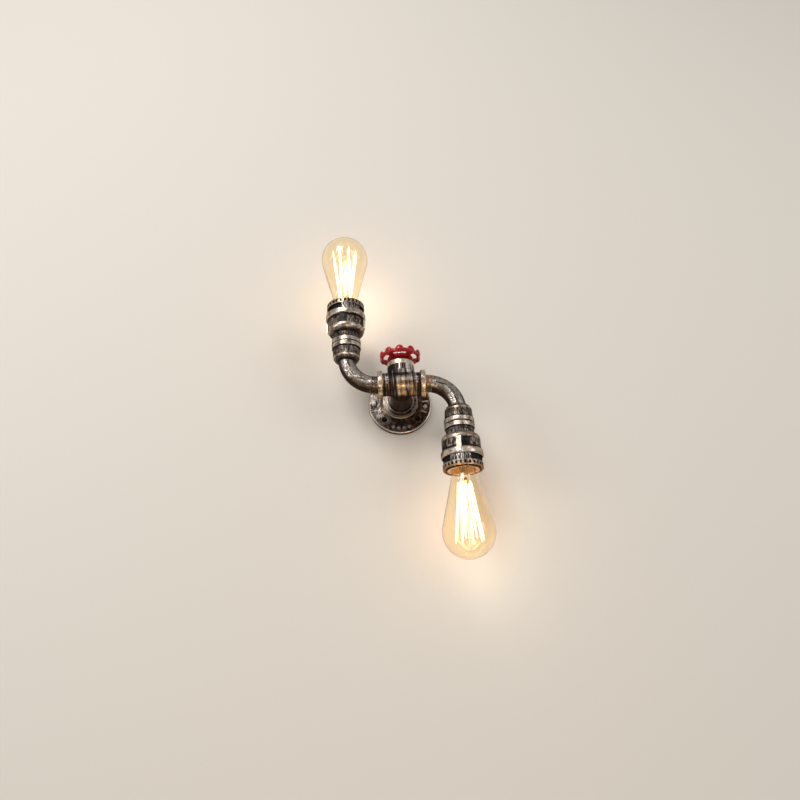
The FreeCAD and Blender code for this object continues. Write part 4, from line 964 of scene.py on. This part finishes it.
def pipe_thread(arm, finish):
    """One ridge wound about the pipe, which rises and runs out at its ends."""
    mesh = bpy.data.meshes.new(f"{arm}_pipe_thread")
    work = bmesh.new()
    rows = []
    for step in range(int(THREAD_TURNS * TURN_STEPS) + 1):
        turns = step / TURN_STEPS
        rise = THREAD_HEIGHT * min(1.0, turns * 2, (THREAD_TURNS - turns) * 1.2 + 0.02)
        out = THREAD_START + turns * THREAD_PITCH
        angle = 2 * math.pi * turns
        profile = ((-THREAD_FOOT, -THREAD_SINK), (-THREAD_CREST, rise),
                   (THREAD_CREST, rise), (THREAD_FOOT, -THREAD_SINK))
        rows.append([work.verts.new(elbow_place(arm, out + part * THREAD_PITCH, angle,
                                                PIPE_RADIUS + lift)) for part, lift in profile])
    for first, second in zip(rows, rows[1:]):
        for corner in range(4):
            after = (corner + 1) % 4
            work.faces.new((first[corner], first[after], second[after], second[corner]))
    work.faces.new(rows[0][::-1])
    work.faces.new(rows[-1])
    bmesh.ops.recalc_face_normals(work, faces=work.faces)
    work.to_mesh(mesh)
    work.free()
    piece = add_piece(f"{arm}_pipe_thread", mesh, finish, f"{arm}_arm")
    return piece


print("thread of", THREAD_TURNS, "turns")


# %% Threads on both arms
def thread_finish(arm, low, high):
    """Cut threads are rubbed brighter than the pipe, on one arm down to gold."""
    finish = Finish(f"{arm}_rubbed_thread")
    grit = finish.noise(finish.place, 500, detail=5)
    finish.set(Base_Color=finish.mix(finish.step(grit, 0.40, 0.58), low, high), Metallic=1.0,
               Roughness=finish.step(grit, 0.3, 0.7, 0.38, 0.26), Specular_Tint=OUTLINE)
    finish.bump(grit, 0.0002, 0.5)
    return finish


thread_colors = {"upper": (BROWN, BRONZE), "lower": (BRONZE, GOLD)}
for arm in ARMS:
    thread = pipe_thread(arm, thread_finish(arm, *thread_colors[arm]))
    print(thread.name, len(thread.data.polygons), "faces")

# %% [markdown]
# ## Raised marks
#
# Castings carry raised marks: here plain studs and bars on the flange, between and beside
# its bolt holes, and on both ends of the tee. Each mark is a thin block with softened edges,
# sunk a little into the metal. Being raised they are rubbed bright, and less than a
# millimetre of rise is enough to catch the light.

# %% One raised mark
MARK_RISE = 0.0008
MARK_SINK = 0.0004
MARK_SOFTENING = 0.00025


def raised_mark(work, place, out, along, long_side, short_side):
    """One mark at a place, facing `out`, with its long side along a direction."""
    sideways = out.cross(along).normalized()
    frame_of_mark = Matrix((along, sideways, out)).transposed().to_4x4()
    middle = place + out * (MARK_RISE - MARK_SINK) / 2
    size = Matrix.Diagonal((long_side, short_side, MARK_RISE + MARK_SINK, 1))
    made = bmesh.ops.create_cube(work, size=1.0,
                                 matrix=Matrix.Translation(middle) @ frame_of_mark @ size)
    edges = {edge for corner in made["verts"] for edge in corner.link_edges}
    bmesh.ops.bevel(work, geom=list(edges), offset=MARK_SOFTENING, segments=2, affect="EDGES")


print("marks rise", MARK_RISE, "m")


# %% A mark's place on the flange and on the tee
def flange_mark(work, radius, degrees, long_side, short_side, lean=0.0):
    """A mark on the flange's face; 0 degrees is to the right and 90 up."""
    angle = math.radians(degrees)
    place = Vector((radius * math.cos(angle), FLANGE_FACE, radius * math.sin(angle)))
    angle += math.radians(lean)
    along = Vector((math.cos(angle), 0, math.sin(angle)))
    raised_mark(work, place, Vector((0, -1, 0)), along, long_side, short_side)


def tee_mark(work, across, degrees, long_side, short_side, lean=0.0):
    """A mark on the tee's run; 0 degrees faces the room and 90 looks up."""
    angle = math.radians(degrees)
    out = Vector((0, -math.cos(angle), math.sin(angle)))
    round_it = Vector((0, math.sin(angle), math.cos(angle)))
    turned_by = math.radians(lean)
    along = math.cos(turned_by) * round_it + math.sin(turned_by) * Vector((1, 0, 0))
    place = Vector((across, AXIS_Y, 0)) + out * RUN_RADIUS
    raised_mark(work, place, out, along, long_side, short_side)


print("flange face at", FLANGE_FACE, "and run radius", RUN_RADIUS)

# %% All marks
# How far the marks are from the flange's middle, and from the tee's.
LOW_MARKS = 0.0355
SIDE_MARKS = 0.0345
TEE_MARKS = 0.0190
ON_ITS_CORNER = 45


def mark_finish():
    """Rubbed metal with darker specks."""
    finish = Finish("rubbed_marks")
    grit = finish.noise(finish.place, 700, detail=5)
    worn = finish.step(grit, 0.38, 0.56)
    finish.set(Base_Color=finish.mix(worn, BRONZE, SILVER), Metallic=1.0,
               Roughness=finish.step(grit, 0.3, 0.7, 0.42, 0.26), Specular_Tint=OUTLINE)
    finish.bump(grit, 0.0002, 0.5)
    return finish


mesh = bpy.data.meshes.new("casting_marks")
work = bmesh.new()
for degrees in (-108, -96, -84, -72):
    flange_mark(work, LOW_MARKS, degrees, 0.0042, 0.0042, ON_ITS_CORNER)
for degrees in (-22, 4):
    flange_mark(work, SIDE_MARKS, degrees, 0.0085, 0.0017)
flange_mark(work, SIDE_MARKS, -9, 0.0048, 0.0048, ON_ITS_CORNER)
for across in (-TEE_MARKS, TEE_MARKS):
    for degrees in (12, -14):
        tee_mark(work, across, degrees, 0.0030, 0.0030, ON_ITS_CORNER)
    tee_mark(work, across, -1, 0.0011, 0.0046)
work.to_mesh(mesh)
work.free()
marks = add_piece("casting_marks", mesh, mark_finish(), "wall_body")
print("marks", len(mesh.polygons), "faces")

# %% [markdown]
# ## Lead-in wires
#
# Two lead-in wires carry the current up through the glass stem and out to the cage. A wire
# could be a row of cylinders, but those gape at every bend. A curve with a round section is
# the short way to draw it, and the section follows the bends by itself.

# %% Lead-in wires
LEAD_RADIUS = 0.00025
LEAD_LINE = ((0.0014, 0.1060), (0.0014, 0.1270), (0.0036, 0.1335), (0.0052, 0.1350),
             (0.0078, 0.1341))


def bent_wire(name, points, radius, sides, finish, body):
    """A wire through the points, with a section of 4 + 2 * `sides` corners."""
    curve = bpy.data.curves.new(name, "CURVE")
    curve.dimensions = "3D"
    curve.bevel_depth = radius
    curve.bevel_resolution = sides
    curve.use_fill_caps = True
    line = curve.splines.new("POLY")
    line.points.add(len(points) - 1)
    for spot, point in zip(line.points, points):
        spot.co = (*point, 1.0)
    shape = into_scene(name + "_line", curve)
    graph = bpy.context.evaluated_depsgraph_get()
    mesh = bpy.data.meshes.new_from_object(shape.evaluated_get(graph))
    mesh.name = name
    bpy.data.objects.remove(shape)
    mesh.materials.clear()
    mesh.shade_smooth()
    return add_piece(name, mesh, finish, body)


for arm, sign in ARMS.items():
    centre = arm_centre(arm)
    for number, side in enumerate((1, -1), start=1):
        line = [centre + Vector((sign * side * across, 0, sign * height))
                for across, height in LEAD_LINE]
        lead = bent_wire(f"{arm}_lead_{number}", line, LEAD_RADIUS, 3, hook_steel, f"{arm}_bulb")
print("lead-in wires done")

# %% [markdown]
# ## Glowing coil
#
# The cage is one long wire that runs to and fro between two rings of hooks, a narrow one
# near the stem and a wide one near the crown. It is wound into a fine coil, which makes it
# look thicker and softer than a plain wire, and drawn in to a point at each hook. The coil
# is one more curve, whose points wind about the straight line between two hooks.

# %% Hooks and coils
# Lengths in metres. The rings' radii are for even and for odd hooks.
STRANDS = 16
RING_RADIUS = (0.0080, 0.0170)
KNUCKLE_RADIUS = 0.00045
COIL_RADIUS = 0.00066
COIL_PITCH = 0.0011
COIL_RUN_IN = 0.0040
COIL_STEPS = 8


def hook_place(arm, number):
    """Where the wire turns round a hook: even ones near the stem, odd ones near the crown."""
    heights = sorted(abs(corner.z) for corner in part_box(f"{arm}_filament"))
    levels = (heights[0] + KNUCKLE_RADIUS, heights[1] - KNUCKLE_RADIUS)
    angle = 2 * math.pi * number / STRANDS
    radius = RING_RADIUS[number % 2]
    sign = ARMS[arm]
    return arm_centre(arm) + Vector((sign * radius * math.cos(angle), radius * math.sin(angle),
                                     sign * levels[number % 2]))


def wound_strand(start, end):
    """Points of a coil from one hook to the next, drawn in to the wire at both hooks."""
    along = end - start
    length = along.length
    aside = along.cross(Vector((0, 1, 0))).normalized()
    across = along.cross(aside).normalized()
    steps = int(length / COIL_PITCH) * COIL_STEPS
    points = []
    for step in range(steps):
        share = step / steps
        angle = 2 * math.pi * step / COIL_STEPS
        spread = COIL_RADIUS * min(1.0, share * length / COIL_RUN_IN,
                                   (1 - share) * length / COIL_RUN_IN)
        points.append(start + along * share
                      + spread * (math.cos(angle) * aside + math.sin(angle) * across))
    return points


print("hooks", STRANDS, "and a coil", 2 * COIL_RADIUS, "m wide")

# %% Both coils
COIL_WIRE = 0.00013


def add_knuckles(mesh, places):
    """A small bead at each hook, where the wire bends round it."""
    work = bmesh.new()
    work.from_mesh(mesh)
    for place in places:
        bmesh.ops.create_icosphere(work, subdivisions=2, radius=KNUCKLE_RADIUS,
                                   matrix=Matrix.Translation(place))
    work.to_mesh(mesh)
    work.free()


for arm in ARMS:
    hooks = [hook_place(arm, number) for number in range(STRANDS)]
    line = []
    for start, end in zip(hooks, hooks[1:] + hooks[:1]):
        line += wound_strand(start, end)
    coil = bent_wire(f"{arm}_glowing_coil", line, COIL_WIRE, 0, glow, f"{arm}_bulb")
    add_knuckles(coil.data, hooks)
    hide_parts(f"{arm}_filament")
    print(coil.name, len(coil.data.polygons), "faces")

# %% [markdown]
# ## The wall
#
# The sconce hangs on a wall, so the backdrop is one large pale wall. It is see-through from
# behind, which leaves the back of the flange in sight when the camera goes round. Shade is
# painted on it where the flange covers it, so that the flange's holes look deep.

# %% Wall
PLASTER = (0.71, 0.67, 0.61)
SHADE_BEHIND_FLANGE = (0.015, 0.013, 0.012)
COVERED_RADIUS = 0.036


def backdrop_finish():
    """Pale plaster that is only there from its front."""
    finish = Finish("pale_plaster")
    grain = finish.noise(finish.place, 260, detail=4)
    across, deep, height = finish.split(finish.place)
    # Painted shade: a dark disc behind the flange, seen only through its holes.
    flange_shade = finish.step(distance(finish, across, height), COVERED_RADIUS + 0.002,
                          COVERED_RADIUS)
    finish.set(Base_Color=finish.mix(flange_shade, PLASTER, SHADE_BEHIND_FLANGE), Roughness=0.9)
    finish.bump(grain, 0.0003, 0.25)
    clear_side = finish.add("ShaderNodeBsdfTransparent")
    back = finish.add("ShaderNodeNewGeometry").outputs["Backfacing"]
    choice = finish.add("ShaderNodeMixShader")
    finish.feed(choice.inputs[0], back)
    finish.feed(choice.inputs[1], finish.shader.outputs[0])
    finish.feed(choice.inputs[2], clear_side.outputs[0])
    finish.feed(finish.tree.nodes["Material Output"].inputs["Surface"], choice.outputs[0])
    return finish


def sheet(name, corners, finish):
    """A flat backdrop, seen from the side where its four corners run anticlockwise."""
    mesh = bpy.data.meshes.new(name)
    mesh.from_pydata(corners, [], [(0, 1, 2, 3)])
    mesh.materials.append(finish.material)
    piece = into_scene(name, mesh)
    piece.visible_diffuse = False
    piece.visible_shadow = False


WALL_HALF = 12.0
WALL_GAP = 0.0006
sheet("wall", [(-WALL_HALF, WALL_GAP, -WALL_HALF), (WALL_HALF, WALL_GAP, -WALL_HALF),
               (WALL_HALF, WALL_GAP, WALL_HALF), (-WALL_HALF, WALL_GAP, WALL_HALF)],
      backdrop_finish())
print("wall of", 2 * WALL_HALF, "m")

# %% [markdown]
# ## Light
#
# Metal shows what stands around it, so it needs lamps with a size and not points of light.
# A large soft lamp high on the left gives the main light, weaker ones on both sides and
# below fill in, and one behind the wall lights the back. The air around gives a dim grey
# light, and looks bright only where it is seen, directly or through glass.

# %% Lamps
def soft_lamp(name, place, size, power, color=(1.0, 1.0, 1.0)):
    """A square area lamp that looks at the sconce and doesn't show itself."""
    data = bpy.data.lights.new(name, "AREA")
    data.shape = "SQUARE"
    data.size = size
    data.energy = power
    data.color = color
    lamp = into_scene(name, data)
    lamp.location = place
    aim = Vector((0, 0, 0)) - Vector(place)
    lamp.rotation_euler = aim.to_track_quat("-Z", "Y").to_euler()
    lamp.visible_camera = False


soft_lamp("key", (-0.7, -1.7, 1.1), 0.9, 24, (1.0, 0.98, 0.95))
soft_lamp("fill", (1.4, -1.3, 0.2), 0.9, 7)
soft_lamp("low", (0.0, -1.3, -1.0), 0.5, 4, (1.0, 0.82, 0.60))
soft_lamp("side", (-1.5, -1.0, 0.0), 0.5, 5)
soft_lamp("bounce", (0.2, 1.6, 0.3), 1.2, 6)
print("lamps", [lamp.name for lamp in bpy.data.lights])

# %% Surround
AIR_LIGHT = 0.30
AIR_SEEN = 0.90


def room_air():
    """A grey surround for light and reflections, and a bright one where it is seen."""
    world = bpy.data.worlds.new("room_air")
    bpy.context.scene.world = world
    world.use_nodes = True
    tree = world.node_tree
    background = tree.nodes["Background"]
    rays = tree.nodes.new("ShaderNodeLightPath")
    seen = tree.nodes.new("ShaderNodeMath")
    seen.operation = "MAXIMUM"
    strength = tree.nodes.new("ShaderNodeMapRange")
    tree.links.new(rays.outputs["Is Camera Ray"], seen.inputs[0])
    tree.links.new(rays.outputs["Is Transmission Ray"], seen.inputs[1])
    tree.links.new(seen.outputs[0], strength.inputs["Value"])
    strength.inputs["To Min"].default_value = AIR_LIGHT
    strength.inputs["To Max"].default_value = AIR_SEEN
    background.inputs["Color"].default_value = (1.0, 1.0, 1.0, 1.0)
    tree.links.new(strength.outputs["Result"], background.inputs["Strength"])


room_air()
print("surround of", AIR_LIGHT, "that looks like", AIR_SEEN)

# %% [markdown]
